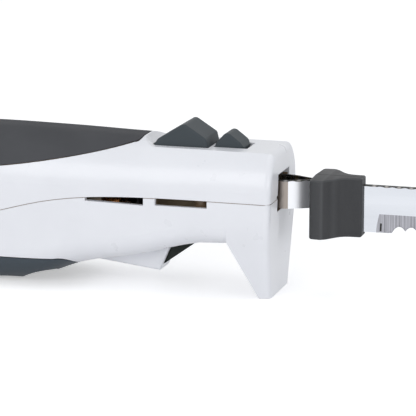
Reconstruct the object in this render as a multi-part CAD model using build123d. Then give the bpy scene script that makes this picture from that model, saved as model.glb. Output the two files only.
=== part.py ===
from build123d import *
import os
from math import atan, cos, degrees, pi, radians, sin

# Electric carving knife: a two-shell handle with a hand guard, a motor with a worm gear, and two
# toothed blades that slide against each other. Millimetres. +X runs to the blade tip, +Z is up,
# left is +Y, and the origin is the middle of the hand guard's foot, on the table.

# Handle as a whole
handle_length = 240.0
body_height = 63.2
handle_half_width = 23.2
front_x = 4.0
wall = 2.6
overrun = 6.0
running_gap = 0.3
fit_gap = 0.15
shaft_gap = 0.05
parting_gap = 0.3
tongue_setback = 0.5
tongue_clearance = 0.05

# Hand guard and the upright front end that carries it
foot_front_x = 2.5
foot_rear_x = -2.1
foot_half_width = 15.0
guard_root_x = -14.2
guard_root_z = 23.2
guard_hollow_z = 14.0
front_half_width = 21.4
front_top_z = 61.8
front_shoulder_radius = 17.5
guard_taper_z = 29.0
guard_taper_radius = 30.0
guard_root_heel_radius = 7.0
guard_root_low_z = 22.3
front_edge_radius = 2.8
front_straight_z = 48.0

# Drive line
drive_z = 41.15
gear_x = -32.0
gear_teeth = 15
gear_module = 1.0
gear_face_width = 5.0
gear_pitch_radius = gear_teeth * gear_module / 2
worm_pitch_radius = 3.2
worm_length = 16.0
crank_throw = 4.0
motor_z = drive_z - gear_pitch_radius - worm_pitch_radius
shaft_radius = 2.5

# Blades
blade_thickness = 1.0
blade_bottom_z = 27.0
blade_top_z = 46.0
blade_face_y = 0.1
tang_bottom_z = 35.5
tang_top_z = 47.0
tang_y = 5.7
blade_tip_x = 216.7

# Motor
stator_front_x = -68.0
stator_length = 26.0
stator_radius = 17.0
armature_radius = 10.0
stator_rear_x = stator_front_x - stator_length


def block(x_low, x_high, y_low, y_high, z_low, z_high):
    """A box given by its two corners."""
    size = Box(x_high - x_low, y_high - y_low, z_high - z_low)
    return Pos((x_low + x_high) / 2, (y_low + y_high) / 2, (z_low + z_high) / 2) * size


def rod_x(x_low, x_high, radius, y=0.0, z=0.0):
    """A round bar along X."""
    return Pos((x_low + x_high) / 2, y, z) * Rot(0, 90, 0) * Cylinder(radius, x_high - x_low)


def rod_y(y_low, y_high, radius, x=0.0, z=0.0):
    """A round bar along Y."""
    return Pos(x, (y_low + y_high) / 2, z) * Rot(90, 0, 0) * Cylinder(radius, y_high - y_low)


def rod_z(z_low, z_high, radius, x=0.0, y=0.0):
    """A round bar along Z."""
    return Pos(x, y, (z_low + z_high) / 2) * Cylinder(radius, z_high - z_low)


def tube_x(x_low, x_high, outside, bore, y=0.0, z=0.0):
    """A round tube along X."""
    hole = rod_x(x_low - overrun, x_high + overrun, bore, y, z)
    return rod_x(x_low, x_high, outside, y, z) - hole


def side_plate(outline, y_low, y_high):
    """A closed outline in the XZ plane, made solid from y_low to y_high."""
    face = Pos(0, y_low, 0) * (Plane.XZ * make_face(outline))
    return extrude(face, amount=y_high - y_low, dir=(0, 1, 0))


def closed(points):
    """Straight edges round a list of points."""
    return Polyline(*points, close=True)


def mirrored(shape):
    """The same piece on the other side of the knife."""
    return mirror(shape, about=Plane.XZ)


def both_sides(shape):
    return shape + mirrored(shape)


# Handle shells

# Each row is one cross-section from the guard to the tail: how far back it lies, its lowest and
# highest point, its half width, and the radii of its shoulders and of its underside.
handle_section_shares = [
    (0.124, 0.337, 0.978, 0.925, 0.776, 0.345),
    (0.203, 0.264, 0.978, 0.930, 0.797, 0.388),
    (0.274, 0.202, 0.983, 0.945, 0.819, 0.431),
    (0.341, 0.146, 0.991, 0.970, 0.841, 0.517),
    (0.412, 0.040, 0.997, 0.987, 0.862, 0.603),
    (0.516, -0.008, 1.000, 1.000, 0.862, 0.690),
    (0.662, -0.008, 0.975, 0.983, 0.862, 0.733),
    (0.808, 0.032, 0.894, 0.897, 0.776, 0.690),
    (0.913, 0.126, 0.792, 0.776, 0.647, 0.560),
    (0.975, 0.237, 0.699, 0.603, 0.474, 0.431),
    (1.000, 0.309, 0.629, 0.453, 0.345, 0.300),
]


def handle_rows():
    """The cross-sections in millimetres, starting where the hand guard's upright part ends."""
    rows = [(guard_root_x, guard_root_low_z, front_top_z, front_half_width,
             front_shoulder_radius, guard_root_heel_radius)]
    for back, low, high, half_width, shoulder, heel in handle_section_shares:
        rows.append((front_x - back * handle_length, low * body_height, high * body_height,
                     half_width * handle_half_width, shoulder * handle_half_width,
                     heel * handle_half_width))
    return rows


def handle_section(row, inset):
    """One rounded cross-section of the handle, drawn in by inset on all its sides."""
    x, low, high, half_width, shoulder, heel = row
    height = high - low - 2 * inset
    outline = Rectangle(2 * (half_width - inset), height)
    outline = Plane.YZ.offset(x) * Pos(0, (low + high) / 2) * outline
    outline = fillet(outline.vertices().group_by(Axis.Z)[-1], shoulder - inset)
    return fillet(outline.vertices().group_by(Axis.Z)[0], heel - inset)


def handle_loft(inset):
    """The handle behind the hand guard as one smooth solid."""
    rows = handle_rows() if inset == 0 else handle_rows()[:-1]
    return loft([handle_section(row, inset) for row in rows])


def front_block(inset):
    """The upright front end with the hand guard: its front view crossed with its side view."""
    half = front_half_width - inset
    foot_half = foot_half_width - inset
    foot_z = 0 if inset == 0 else guard_hollow_z
    top = front_top_z - inset
    view = [(-half, top), (half, top), (half, guard_taper_z), (foot_half, foot_z),
            (-foot_half, foot_z), (-half, guard_taper_z)]
    outline = Plane.YZ.offset(guard_root_x) * make_face(closed(view))
    outline = fillet(outline.vertices().group_by(Axis.Z)[-1], front_shoulder_radius - inset)
    bends = [v for v in outline.vertices() if abs(v.Z - guard_taper_z) < fit_gap]
    outline = fillet(bends, guard_taper_radius)
    seen_from_front = extrude(outline, amount=front_x - guard_root_x + overrun, dir=(1, 0, 0))
    side = [(front_x - inset, top + overrun), (front_x - inset, front_straight_z),
            (foot_front_x - inset, 0), (foot_rear_x + inset, 0),
            (guard_root_x, guard_root_z + inset), (guard_root_x, top + overrun)]
    return seen_from_front & side_plate(closed(side), -half - overrun, half + overrun)


def outer_form():
    """The whole outside of the two shells, before the trigger fin and the openings."""
    front = front_block(0) - deck_cut()
    rim = [e for e in front.edges() if e.center().X > foot_front_x and e.center().Z > wall]
    return fillet(rim, front_edge_radius) + (handle_loft(0) - deck_cut())


def inner_form():
    """The hollow inside the shells."""
    return front_block(wall) + handle_loft(wall)


def skin(thickness):
    """The outermost layer of the handle behind the guard, where the soft covers lie."""
    return handle_loft(0) - handle_loft(thickness)


# Line where the two shells meet, seen from the side: how far back, and how high.
parting_shares = [(-0.04, 0.634), (0.103, 0.633), (0.245, 0.628), (0.328, 0.610), (0.399, 0.568),
                  (0.470, 0.497), (0.578, 0.404), (0.725, 0.356), (0.870, 0.380), (1.040, 0.459)]


def seam_tongue():
    """The low rim on the lower shell's wall that nearly fills the seam, set back from its face."""
    layer = front_block(tongue_setback) + handle_loft(tongue_setback)
    band = above_parting(-parting_gap - fit_gap) - above_parting(-tongue_clearance)
    return (layer & band) - inner_form()


def above_parting(lift):
    """Everything over the line where the shells meet, raised by lift."""
    points = [(front_x - back * handle_length, high * body_height + lift)
              for back, high in parting_shares]
    top = body_height + overrun
    line = Spline(*points)
    rest = Polyline(points[-1], (points[-1][0], top), (points[0][0], top), points[0])
    half = handle_half_width + overrun
    return side_plate(line + rest, -half, half)


# Soft cover on top of the handle: a leaf seen from the side, with a blunt tip behind the deck.
inlay_thickness = 1.2
inlay_groove = 0.35
inlay_tip_shares = [(0.2360, 0.991), (0.2375, 0.966), (0.246, 0.951)]
# The leaf's lower edge behind its tip: how far back, and how high.
inlay_edge_shares = [(0.268, 0.928), (0.350, 0.857), (0.436, 0.799), (0.548, 0.759),
                     (0.660, 0.784), (0.735, 0.840), (0.783, 0.903)]


def inlay_region(grown):
    """Everything over the top cover's lower edge, grown outwards by the groove round it."""
    tip = [(front_x - back * handle_length + grown, high * body_height - grown)
           for back, high in inlay_tip_shares]
    edge = [(front_x - back * handle_length, high * body_height - grown)
            for back, high in inlay_edge_shares]
    rear = edge[-1]
    top = body_height + overrun
    outline = ThreePointArc(*tip) + Spline(tip[-1], *edge)
    outline += Polyline(rear, (rear[0], top), (tip[0][0], top), tip[0])
    half = handle_half_width + overrun
    return side_plate(outline, -half, half)


# Lower grip: a strip under the handle with shallow finger waves.
grip_front_x = -77.5
grip_rear_x = -208.0
grip_edge_z = 11.5
grip_tip_z = 8.2
grip_tip_length = 9.5
grip_thickness = 3.0
grip_wave_depth = 1.1
# Crests of the finger waves along the underside: how far back, and how high.
grip_crest_shares = [(0.383, 0.096), (0.446, 0.022), (0.510, 0.0), (0.574, 0.0), (0.638, 0.0),
                     (0.702, 0.0), (0.766, 0.010), (0.830, 0.045)]


def grip_region(grown):
    """Everything under the grip's upper edge, grown by the groove round it."""
    front = (grip_front_x + grown, grip_tip_z)
    front_top = (grip_front_x - grip_tip_length, grip_edge_z + grown)
    rear_top = (grip_rear_x + grip_tip_length, grip_edge_z + grown)
    rear = (grip_rear_x - grown, grip_tip_z)
    low = -overrun
    nose = ThreePointArc(front, (front[0] - grip_tip_length / 3,
                                 grip_tip_z + (front_top[1] - grip_tip_z) * 3 / 4), front_top)
    tail = ThreePointArc(rear_top, (rear[0] + grip_tip_length / 3,
                                    grip_tip_z + (rear_top[1] - grip_tip_z) * 3 / 4), rear)
    rest = Polyline(rear, (rear[0], low), (front[0], low), front)
    half = handle_half_width + overrun
    return side_plate(nose + Line(front_top, rear_top) + tail + rest, -half, half)


def lower_grip():
    """The dark grip: the skin of the handle under its edge, with its waves, standing on z = 0."""
    grip = skin(grip_thickness) & grip_region(0)
    half = handle_half_width + overrun
    crests = [(front_x - back * handle_length, high * body_height)
              for back, high in grip_crest_shares]
    waves = Curve()
    for ahead, behind in zip(crests, crests[1:]):
        middle = ((ahead[0] + behind[0]) / 2, (ahead[1] + behind[1]) / 2 + grip_wave_depth)
        waves += ThreePointArc(ahead, middle, behind)
    first, last = crests[0], crests[-1]
    waves += Polyline(last, (last[0], -overrun), (first[0], -overrun), first)
    grip -= side_plate(waves, -half, half)
    return grip - block(grip_rear_x - overrun, grip_front_x + overrun, -half, half, -overrun, 0)


# Trigger and the fin that shields it
fin_half_width = 6.8
fin_rear_x = -75.0
fin_rear_z = 9.9
fin_tip_x = -46.2
fin_tip_z = 6.5
fin_front_x = -41.4
fin_front_z = 17.5
fin_floor = 2.2
trigger_half_width = 4.3
trigger_pivot_x = -62.0
trigger_pivot_z = 14.5
trigger_nose_x = -32.0
trigger_nose_z = 18.3
trigger_low_x = -44.7
trigger_low_z = 9.1
trigger_back_radius = 3.0
trigger_front_thickness = 1.8
trigger_lug_x = -43.0
trigger_lug_half_length = 1.5
trigger_lug_y = 13.2
trigger_lug_top_z = 21.9
trigger_lug_thickness = 1.5
trigger_pin_radius = 1.2
trigger_pin_half_length = 6.2


def trigger_fin():
    """The hollow white fin under the handle, without its pocket."""
    top = fin_front_z + fin_floor
    points = [(fin_rear_x, fin_rear_z), (fin_tip_x, fin_tip_z), (fin_front_x, fin_front_z),
              (fin_front_x, top), (fin_rear_x, top)]
    fin = side_plate(closed(points), -fin_half_width, fin_half_width)
    long_edges = [e for e in fin.edges().filter_by(Axis.Y, reverse=True)
                  if e.center().Z < fin_front_z and abs(e.center().Y) > trigger_half_width]
    return fillet(long_edges, fin_floor / 2)


def trigger_pocket():
    """The space the trigger swings in, open at the fin's front."""
    half = trigger_half_width + running_gap
    floor_z = fin_tip_z + fin_floor
    rear = trigger_pivot_x - trigger_back_radius - 2 * running_gap
    rear_floor_z = trigger_pivot_z - trigger_back_radius - 2 * running_gap
    points = [(rear, rear_floor_z), (trigger_low_x, floor_z), (trigger_nose_x, floor_z),
              (trigger_nose_x + fin_floor / 2, trigger_nose_z + overrun),
              (rear, trigger_nose_z + overrun)]
    return side_plate(closed(points), -half, half)


def trigger():
    """The trigger lever, with the arm that works the switch."""
    half = trigger_half_width
    top_z = trigger_pivot_z + trigger_back_radius
    points = [(trigger_pivot_x, trigger_pivot_z - trigger_back_radius),
              (trigger_low_x, trigger_low_z), (trigger_nose_x, trigger_nose_z),
              (trigger_nose_x, trigger_nose_z + trigger_front_thickness),
              (trigger_low_x, top_z), (trigger_pivot_x, top_z)]
    lever = side_plate(closed(points), -half, half)
    lever += rod_y(-half, half, trigger_back_radius, trigger_pivot_x, trigger_pivot_z)
    arm_low = trigger_lug_x - trigger_lug_half_length
    arm_high = trigger_lug_x + trigger_lug_half_length
    lever += block(arm_low, arm_high, -half, trigger_lug_y,
                   trigger_lug_top_z - trigger_lug_thickness, trigger_lug_top_z)
    lever += block(arm_low, arm_high, -half, half, trigger_low_z + overrun, trigger_lug_top_z)
    bore = trigger_pin_radius + shaft_gap
    return lever - rod_y(-half - overrun, half + overrun, bore, trigger_pivot_x, trigger_pivot_z)


def trigger_pin():
    return rod_y(-trigger_pin_half_length, trigger_pin_half_length, trigger_pin_radius,
                 trigger_pivot_x, trigger_pivot_z)


# Buttons and the flat deck they stand on
deck_z = 59.0
deck_thickness = 2.6
deck_rear_x = -53.0
deck_ramp_length = 6.0
deck_ramp_top_z = 62.8
deck_ramp_dip = 0.5
deck_half_width = 14.0
lock_rear_x = -47.8
lock_front_x = -25.1
lock_half_width = 9.0
lock_apex_x = -35.2
lock_apex_z = 68.3
lock_brow_x = -26.2
lock_brow_z = 62.6
release_rear_x = -23.2
release_front_x = -11.3
release_half_width = 6.0
release_apex_x = -18.3
release_apex_z = 65.4
release_brow_x = -12.4
release_brow_z = 61.0
release_travel = 1.5
release_stem_z = 39.5
release_stem_half_width = 3.0
button_skirt = 1.2
button_floor = 1.5
button_edge_radius = 0.7
button_apex_radius = 2.2
button_brow_radius = 1.2
button_knee_share = 0.14
button_corner_radius = 2.0
button_stem_half = 2.0


def wedge_button(rear_x, fore_x, half_width, apex_x, apex_z, brow_x, brow_z):
    """A thumb wedge over the deck, with a skirt under it that keeps it in the slot."""
    under = deck_z - deck_thickness - running_gap
    low = under - button_floor
    knee = ((apex_x - rear_x) * button_knee_share, (apex_z - deck_z) * 2 * button_knee_share)
    points = [(rear_x, low), (fore_x, low), (fore_x, deck_z), (brow_x, brow_z),
              (apex_x, apex_z), (rear_x + knee[0], deck_z + knee[1]), (rear_x, deck_z + fit_gap)]
    side = Plane.XZ * make_face(closed(points))
    tops = [v for v in side.vertices() if v.Z > deck_z + button_skirt]
    side = fillet([v for v in tops if abs(v.X - apex_x) > fit_gap], button_brow_radius)
    side = fillet([v for v in side.vertices() if v.Z > apex_z - fit_gap], button_apex_radius)
    wedge = extrude(Pos(0, -half_width, 0) * side, amount=2 * half_width, dir=(0, 1, 0))
    plan = block(rear_x, fore_x, -half_width, half_width, low, apex_z)
    plan = fillet([e for e in plan.edges().filter_by(Axis.Z) if e.center().X > apex_x],
                  button_corner_radius)
    wedge = wedge & plan
    crest = [e for e in wedge.edges() if e.center().Z > deck_z + button_skirt
             and abs(e.center().Y) > fit_gap]
    wedge = fillet(crest, button_edge_radius)
    return wedge + block(rear_x, fore_x, -half_width - button_skirt,
                         half_width + button_skirt, low, under)


def lock_button():
    return wedge_button(lock_rear_x, lock_front_x, lock_half_width, lock_apex_x, lock_apex_z,
                        lock_brow_x, lock_brow_z)


def release_button():
    """The small wedge, with the stem that reaches down to the blade catches."""
    button = wedge_button(release_rear_x, release_front_x, release_half_width, release_apex_x,
                          release_apex_z, release_brow_x, release_brow_z)
    return button + block(release_apex_x - button_stem_half, release_apex_x + button_stem_half,
                          -release_stem_half_width, release_stem_half_width,
                          release_stem_z, deck_z - deck_thickness)


def deck_cut():
    """What is cut off the top of the handle to make the flat deck, with a dip down to its rear."""
    top = body_height + overrun
    foot_x = deck_rear_x + deck_ramp_length
    start = (deck_rear_x, deck_ramp_top_z)
    dip = (foot_x - deck_ramp_length / 2, (deck_ramp_top_z + deck_z) / 2 - deck_ramp_dip)
    fore_x = front_x + overrun
    outline = ThreePointArc(start, dip, (foot_x, deck_z))
    outline += Polyline((foot_x, deck_z), (fore_x, deck_z), (fore_x, top), (deck_rear_x, top), start)
    half = handle_half_width + overrun
    return side_plate(outline, -half, half)


def deck_plate():
    """The wall under the deck."""
    return block(deck_rear_x - wall, front_x, -deck_half_width, deck_half_width,
                 deck_z - deck_thickness, deck_z)


def button_slots():
    """The two openings in the deck. The small one is longer by the button's travel."""
    low = deck_z - deck_thickness - overrun
    high = deck_z + overrun
    lock = block(lock_rear_x - running_gap, lock_front_x + running_gap,
                 -lock_half_width - running_gap, lock_half_width + running_gap, low, high)
    release = block(release_rear_x - running_gap, release_front_x + running_gap + release_travel,
                    -release_half_width - running_gap, release_half_width + running_gap, low, high)
    return lock + release


# Openings through the shells
mouth_half_width = 8.6
mouth_low_z = 34.5
mouth_high_z = 49.7
notch_half_width = 10.0
notch_low_z = 40.0
notch_high_z = 41.2
vent_top_reach = 2.0
front_vent_front_x = -21.9
front_vent_rear_x = -43.5
rear_vent_front_x = -48.3
rear_vent_rear_x = -72.7
front_vent_low_z = 37.0
rear_vent_low_z = 36.6
rear_vent_end_z = 37.3
inlet_z = 30.0
inlet_radius = 5.2
inlet_bore = 3.6
inlet_flange_radius = 7.0
inlet_flange = 1.6


def vents():
    """Air slots in the rim of the lower shell, through both sides."""
    half = handle_half_width + overrun
    high = drive_z + vent_top_reach
    front = block(front_vent_rear_x, front_vent_front_x, -half, half, front_vent_low_z, high)
    rear = [(rear_vent_rear_x, rear_vent_end_z), (rear_vent_front_x, rear_vent_low_z),
            (rear_vent_front_x, high), (rear_vent_rear_x, high)]
    return front + side_plate(closed(rear), -half, half)


def mouth():
    """The opening for the blades, with the small notch beside it where the shells meet."""
    rear_x = front_x - wall - overrun
    fore_x = front_x + overrun
    return block(rear_x, fore_x, -mouth_half_width, mouth_half_width, mouth_low_z, mouth_high_z) + \
        block(rear_x, fore_x, -notch_half_width, notch_half_width, notch_low_z, notch_high_z)


def inlet_hole():
    tail_x = front_x - handle_length
    return rod_x(tail_x - overrun, tail_x + 2 * overrun, inlet_radius, 0, inlet_z)


def cord_inlet():
    """The bush in the tail that the mains lead would pass through."""
    tail_x = front_x - handle_length
    inside_x = tail_x + 2 * overrun
    bush = rod_x(tail_x - inlet_flange, inside_x, inlet_radius, 0, inlet_z)
    bush += rod_x(tail_x - inlet_flange, tail_x, inlet_flange_radius, 0, inlet_z)
    bush += rod_x(inside_x - inlet_flange, inside_x, inlet_flange_radius, 0, inlet_z)
    return bush - rod_x(tail_x - overrun, inside_x + overrun, inlet_bore, 0, inlet_z)


# Case screws
boss_radius = 3.2
screw_radius = 1.3
screw_head_radius = 2.6
screw_head_height = 1.8
screw_head_gap = 0.3
# The five screws: how far back and how far out, then where the head sits and where the tip ends.
screw_place_shares = [(0.1250, 0.578, 0.412, 0.759), (0.1250, -0.578, 0.412, 0.759),
                      (0.6035, 0.560, 0.143, 0.538), (0.6035, -0.560, 0.143, 0.538),
                      (0.908, 0.0, 0.221, 0.570)]


def screw_places():
    """The same five screws in millimetres: x, y, underside of the head, tip."""
    return [(front_x - back * handle_length, out * handle_half_width, head * body_height,
             tip * body_height) for back, out, head, tip in screw_place_shares]


def case_screws():
    screws = Part()
    for x, y, head_z, tip_z in screw_places():
        screws += rod_z(head_z, tip_z, screw_radius, x, y)
        head = rod_z(head_z - screw_head_height, head_z, screw_head_radius, x, y)
        slot = block(x - overrun, x + overrun, y - screw_radius / 3, y + screw_radius / 3,
                     head_z - 2 * screw_head_height, head_z - screw_head_height / 2)
        screws += head - slot
    return screws


def lower_bosses():
    bosses = Part()
    for x, y, head_z, tip_z in screw_places():
        bosses += rod_z(-overrun, tip_z, boss_radius, x, y)
    return bosses


def upper_bosses():
    bosses = Part()
    for x, y, head_z, tip_z in screw_places():
        bosses += rod_z(head_z, body_height, boss_radius, x, y)
    return bosses


def screw_holes():
    """Holes for the screw heads from below and for their shanks."""
    holes = Part()
    for x, y, head_z, tip_z in screw_places():
        holes += rod_z(-overrun, head_z, screw_head_radius + screw_head_gap, x, y)
        holes += rod_z(head_z - overrun, tip_z, screw_radius, x, y)
    return holes


# Frame that carries the gear, the front bearing and the blade drivers
frame_inner_y = 7.4
frame_outer_y = 9.6
frame_top_z = 50.6
frame_low_z = 25.0
frame_rear_x = -49.5
frame_wall = 2.5
frame_step_x = -18.0
frame_front_x = -5.0
rail_thickness = 1.6
axle_radius = 1.5
bearing_radius = 4.2
bearing_half_length = 3.0
frame_boss_radius = 5.4

# Blade drivers
driver_inner_y = 4.5
driver_outer_y = 7.1
driver_front_x = -3.6
driver_arm_low_z = 33.5
driver_arm_high_z = 48.8
eccentric_radius = 6.5
eccentric_inner_y = 4.3
yoke_play_share = 0.24
yoke_jaw = 2.5
yoke_low_z = 27.9
yoke_high_z = 49.0
socket_rear_x = -16.0
socket_gap = 0.15
catch_radius = 1.2
catch_x = -9.0
catch_length = 12.0
catch_height = 6.0
catch_thickness = 0.6


def eccentric_gear():
    """The moulded gear: toothed rim, hub, and a throw disc on each side, half a turn apart."""
    root_radius = gear_pitch_radius - 1.2 * gear_module
    tip_radius = gear_pitch_radius + 0.9 * gear_module
    half_face = gear_face_width / 2
    gear = rod_y(-half_face, half_face, root_radius, gear_x, drive_z)
    lead = degrees(atan(gear_module / (2 * worm_pitch_radius)))
    depth = tip_radius - root_radius
    root_half = 0.62 * gear_module
    tip_half = 0.30 * gear_module
    sunk = depth / 3
    profile = closed([(-root_half, sunk), (root_half, sunk), (tip_half, -depth), (-tip_half, -depth)])
    tooth = Pos(0, 0, -root_radius) * Rot(0, 0, lead) * side_plate(profile, -half_face, half_face)
    bound = tube_y_cut(half_face)
    for number in range(gear_teeth):
        turned = Rot(0, 360 * number / gear_teeth, 0) * tooth
        gear += (Pos(gear_x, 0, drive_z) * turned) & bound
    gear += rod_y(-eccentric_inner_y, eccentric_inner_y, crank_throw, gear_x, drive_z)
    gear += rod_y(eccentric_inner_y, driver_outer_y, eccentric_radius, gear_x, drive_z + crank_throw)
    gear += rod_y(-driver_outer_y, -eccentric_inner_y, eccentric_radius, gear_x,
                  drive_z - crank_throw)
    return gear - rod_y(-frame_outer_y, frame_outer_y, axle_radius + shaft_gap, gear_x, drive_z)


def tube_y_cut(half_face):
    """The flat disc that the gear's teeth stay within."""
    return rod_y(-half_face, half_face, gear_pitch_radius + gear_module, gear_x, drive_z)


def gear_axle():
    return rod_y(-frame_outer_y, frame_outer_y, axle_radius, gear_x, drive_z)


def gear_frame():
    """Two side cheeks and a rear wall in one casting, with rails for the drivers' arms."""
    cheek = block(frame_rear_x, frame_step_x, frame_inner_y, frame_outer_y, frame_low_z, frame_top_z)
    rail_low = driver_arm_low_z - running_gap
    rail_high = driver_arm_high_z + running_gap
    cheek += block(frame_step_x, frame_front_x, frame_inner_y, frame_outer_y,
                   rail_low - rail_thickness, rail_high + rail_thickness)
    rail_x = frame_step_x + fit_gap
    cheek += block(rail_x, frame_front_x, driver_inner_y, frame_inner_y,
                   rail_low - rail_thickness, rail_low)
    cheek += block(rail_x, frame_front_x, driver_inner_y, frame_inner_y, rail_high,
                   rail_high + rail_thickness)
    cheek -= rod_y(0, frame_outer_y + overrun, axle_radius, gear_x, drive_z)
    frame = both_sides(cheek)
    frame += block(frame_rear_x, frame_rear_x + frame_wall, -frame_outer_y, frame_outer_y,
                   frame_low_z, frame_top_z)
    middle = frame_rear_x + frame_wall / 2
    frame += rod_x(middle - bearing_half_length, middle + bearing_half_length, frame_boss_radius,
                   0, motor_z) & block(middle - overrun, middle + bearing_half_length,
                                       -driver_inner_y, driver_inner_y, 0, body_height)
    return frame - rod_x(middle - overrun, middle + overrun, bearing_radius, 0, motor_z)


def front_bearing():
    middle = frame_rear_x + frame_wall / 2
    return tube_x(middle - bearing_half_length, middle + bearing_half_length, bearing_radius,
                  shaft_radius + shaft_gap, 0, motor_z)


def driver():
    """The left blade driver: two jaws round the throw disc, an arm, and the blade's socket."""
    play = yoke_play_share * crank_throw
    jaw_inside = eccentric_radius + play
    jaw_outside = jaw_inside + yoke_jaw
    plate = block(gear_x - jaw_outside, gear_x + jaw_outside, driver_inner_y, driver_outer_y,
                  yoke_low_z, yoke_high_z)
    window_low = drive_z - crank_throw - eccentric_radius - running_gap
    plate -= block(gear_x - jaw_inside, gear_x + jaw_inside, driver_inner_y - overrun,
                   driver_outer_y + overrun, window_low, yoke_high_z + overrun)
    plate += block(gear_x + jaw_inside, driver_front_x, driver_inner_y, driver_outer_y,
                   driver_arm_low_z, driver_arm_high_z)
    half = blade_thickness / 2 + socket_gap
    socket = block(socket_rear_x, driver_front_x + overrun, tang_y - half, tang_y + half,
                   tang_bottom_z - socket_gap, tang_top_z + socket_gap)
    hole = rod_y(driver_inner_y - overrun, tang_y, catch_radius + fit_gap, catch_x, drive_z)
    return plate - socket - hole


def blade_catch():
    """The flat spring in the driver whose round nose holds the blade's tang."""
    half = catch_length / 2
    strip = block(catch_x - half, catch_x + half / 2, driver_inner_y - catch_thickness,
                  driver_inner_y, drive_z - catch_height / 2, drive_z + catch_height / 2)
    nose_tip = tang_y - blade_thickness / 2 - fit_gap
    return strip + rod_y(driver_inner_y - catch_thickness, nose_tip, catch_radius, catch_x, drive_z)


# Blade pair
blade_heel_x = 20.0
tang_end_x = -15.5
tang_bend_rear_x = 6.5
tang_bend_middle_x = 11.0
tang_bend_middle_y = 3.2
tang_bend_front_x = 17.0
tang_bend_front_y = 1.3
tooth_first_x = 48.5
tooth_pitch = 5.5
tooth_rise = 1.0
tooth_depth = 2.7
tooth_count = 28
ground_start_x = 42.5
ground_height = 8.0
ground_depth = 0.45
tip_round_share = 0.72
tip_top_z = 45.0
rivet_x = 196.0
rivet_z = 39.0
rivet_radius = 1.6
rivet_head_radius = 2.8
rivet_head_height = 0.7


def blade_outline():
    """Side view of the blade from its heel in the guard block to the rounded tip."""
    edges = []
    low = (tooth_first_x, blade_bottom_z)
    for number in range(tooth_count):
        rise = 0 if number % 2 else tooth_rise
        ahead = (low[0] + tooth_pitch, blade_bottom_z + rise)
        middle = (low[0] + tooth_pitch / 2, blade_bottom_z + tooth_depth)
        edges.append(ThreePointArc(low, middle, ahead))
        low = ahead
    tip_low = low
    tip_end = (blade_tip_x, tip_top_z)
    bulge = (low[0] + (blade_tip_x - low[0]) * tip_round_share,
             blade_bottom_z + (tip_top_z - blade_bottom_z) * (1 - tip_round_share))
    edges.append(ThreePointArc(tip_low, bulge, tip_end))
    top_end = (blade_tip_x - (blade_top_z - tip_top_z), blade_top_z)
    edges.append(Line(tip_end, top_end))
    edges.append(Polyline(top_end, (blade_heel_x, blade_top_z), (blade_heel_x, blade_bottom_z),
                          (tooth_first_x, blade_bottom_z)))
    return Curve() + edges


def blade_blank():
    """The left blade with its bent tang and its ground edge, before the tip slot."""
    near = blade_face_y
    far = blade_face_y + blade_thickness
    blade = side_plate(blade_outline(), near, far)
    half = blade_thickness / 2
    path = [(tang_end_x, tang_y), (tang_bend_rear_x, tang_y),
            (tang_bend_middle_x, tang_bend_middle_y), (tang_bend_front_x, tang_bend_front_y),
            (blade_heel_x, blade_face_y + half), (blade_heel_x + blade_thickness, blade_face_y + half)]
    plan = [(x, y + half) for x, y in path] + [(x, y - half) for x, y in reversed(path)]
    tang = extrude(Pos(0, 0, tang_bottom_z) * make_face(closed(plan)),
                   amount=tang_top_z - tang_bottom_z, dir=(0, 0, 1))
    bevel = [(far, blade_bottom_z + ground_height), (far + overrun, blade_bottom_z + ground_height),
             (far + overrun, blade_bottom_z - overrun),
             (far - ground_depth, blade_bottom_z - overrun), (far - ground_depth, blade_bottom_z)]
    cutter = Plane.YZ.offset(ground_start_x) * make_face(closed(bevel))
    blade -= extrude(cutter, amount=blade_tip_x, dir=(1, 0, 0))
    return blade + tang


def left_blade():
    """The blade with the slot that lets the pair slide past each other."""
    half = 2 * crank_throw
    slot = block(rivet_x - half, rivet_x + half, -overrun, overrun,
                 rivet_z - rivet_radius - running_gap, rivet_z + rivet_radius + running_gap)
    for end in (rivet_x - half, rivet_x + half):
        slot += rod_y(-overrun, overrun, rivet_radius + running_gap, end, rivet_z)
    return blade_blank() - slot


def right_blade():
    """The blade that carries the tip rivet."""
    hole = rod_y(-overrun, overrun, rivet_radius, rivet_x, rivet_z)
    return mirrored(blade_blank()) - hole


def tip_rivet():
    """The headed rivet in the right blade that keeps both tips together."""
    outside = blade_face_y + blade_thickness
    head_y = outside + fit_gap
    rivet = rod_y(-outside, head_y, rivet_radius, rivet_x, rivet_z)
    rivet += rod_y(head_y, head_y + rivet_head_height, rivet_head_radius, rivet_x, rivet_z)
    return rivet + rod_y(-outside - rivet_head_height, -outside, rivet_head_radius, rivet_x, rivet_z)


# Finger block moulded on each blade
block_rear_x = 16.8
block_front_x = 36.9
block_low_z = 25.1
block_top_z = 49.0
block_half_width = 12.8
block_face_y = 0.2
block_edge_radius = 0.9
# Half of the block seen from above: how far forward, and how far out.
block_corner_share = (0.03, 0.96)
block_lip_share = (0.26, 1.0)
block_scoop_shares = [(0.42, 0.78), (0.52, 0.57), (0.64, 0.43), (0.80, 0.335), (1.0, 0.305)]
block_corner_radius = 2.2
block_lip_radius = 2.0


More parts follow.
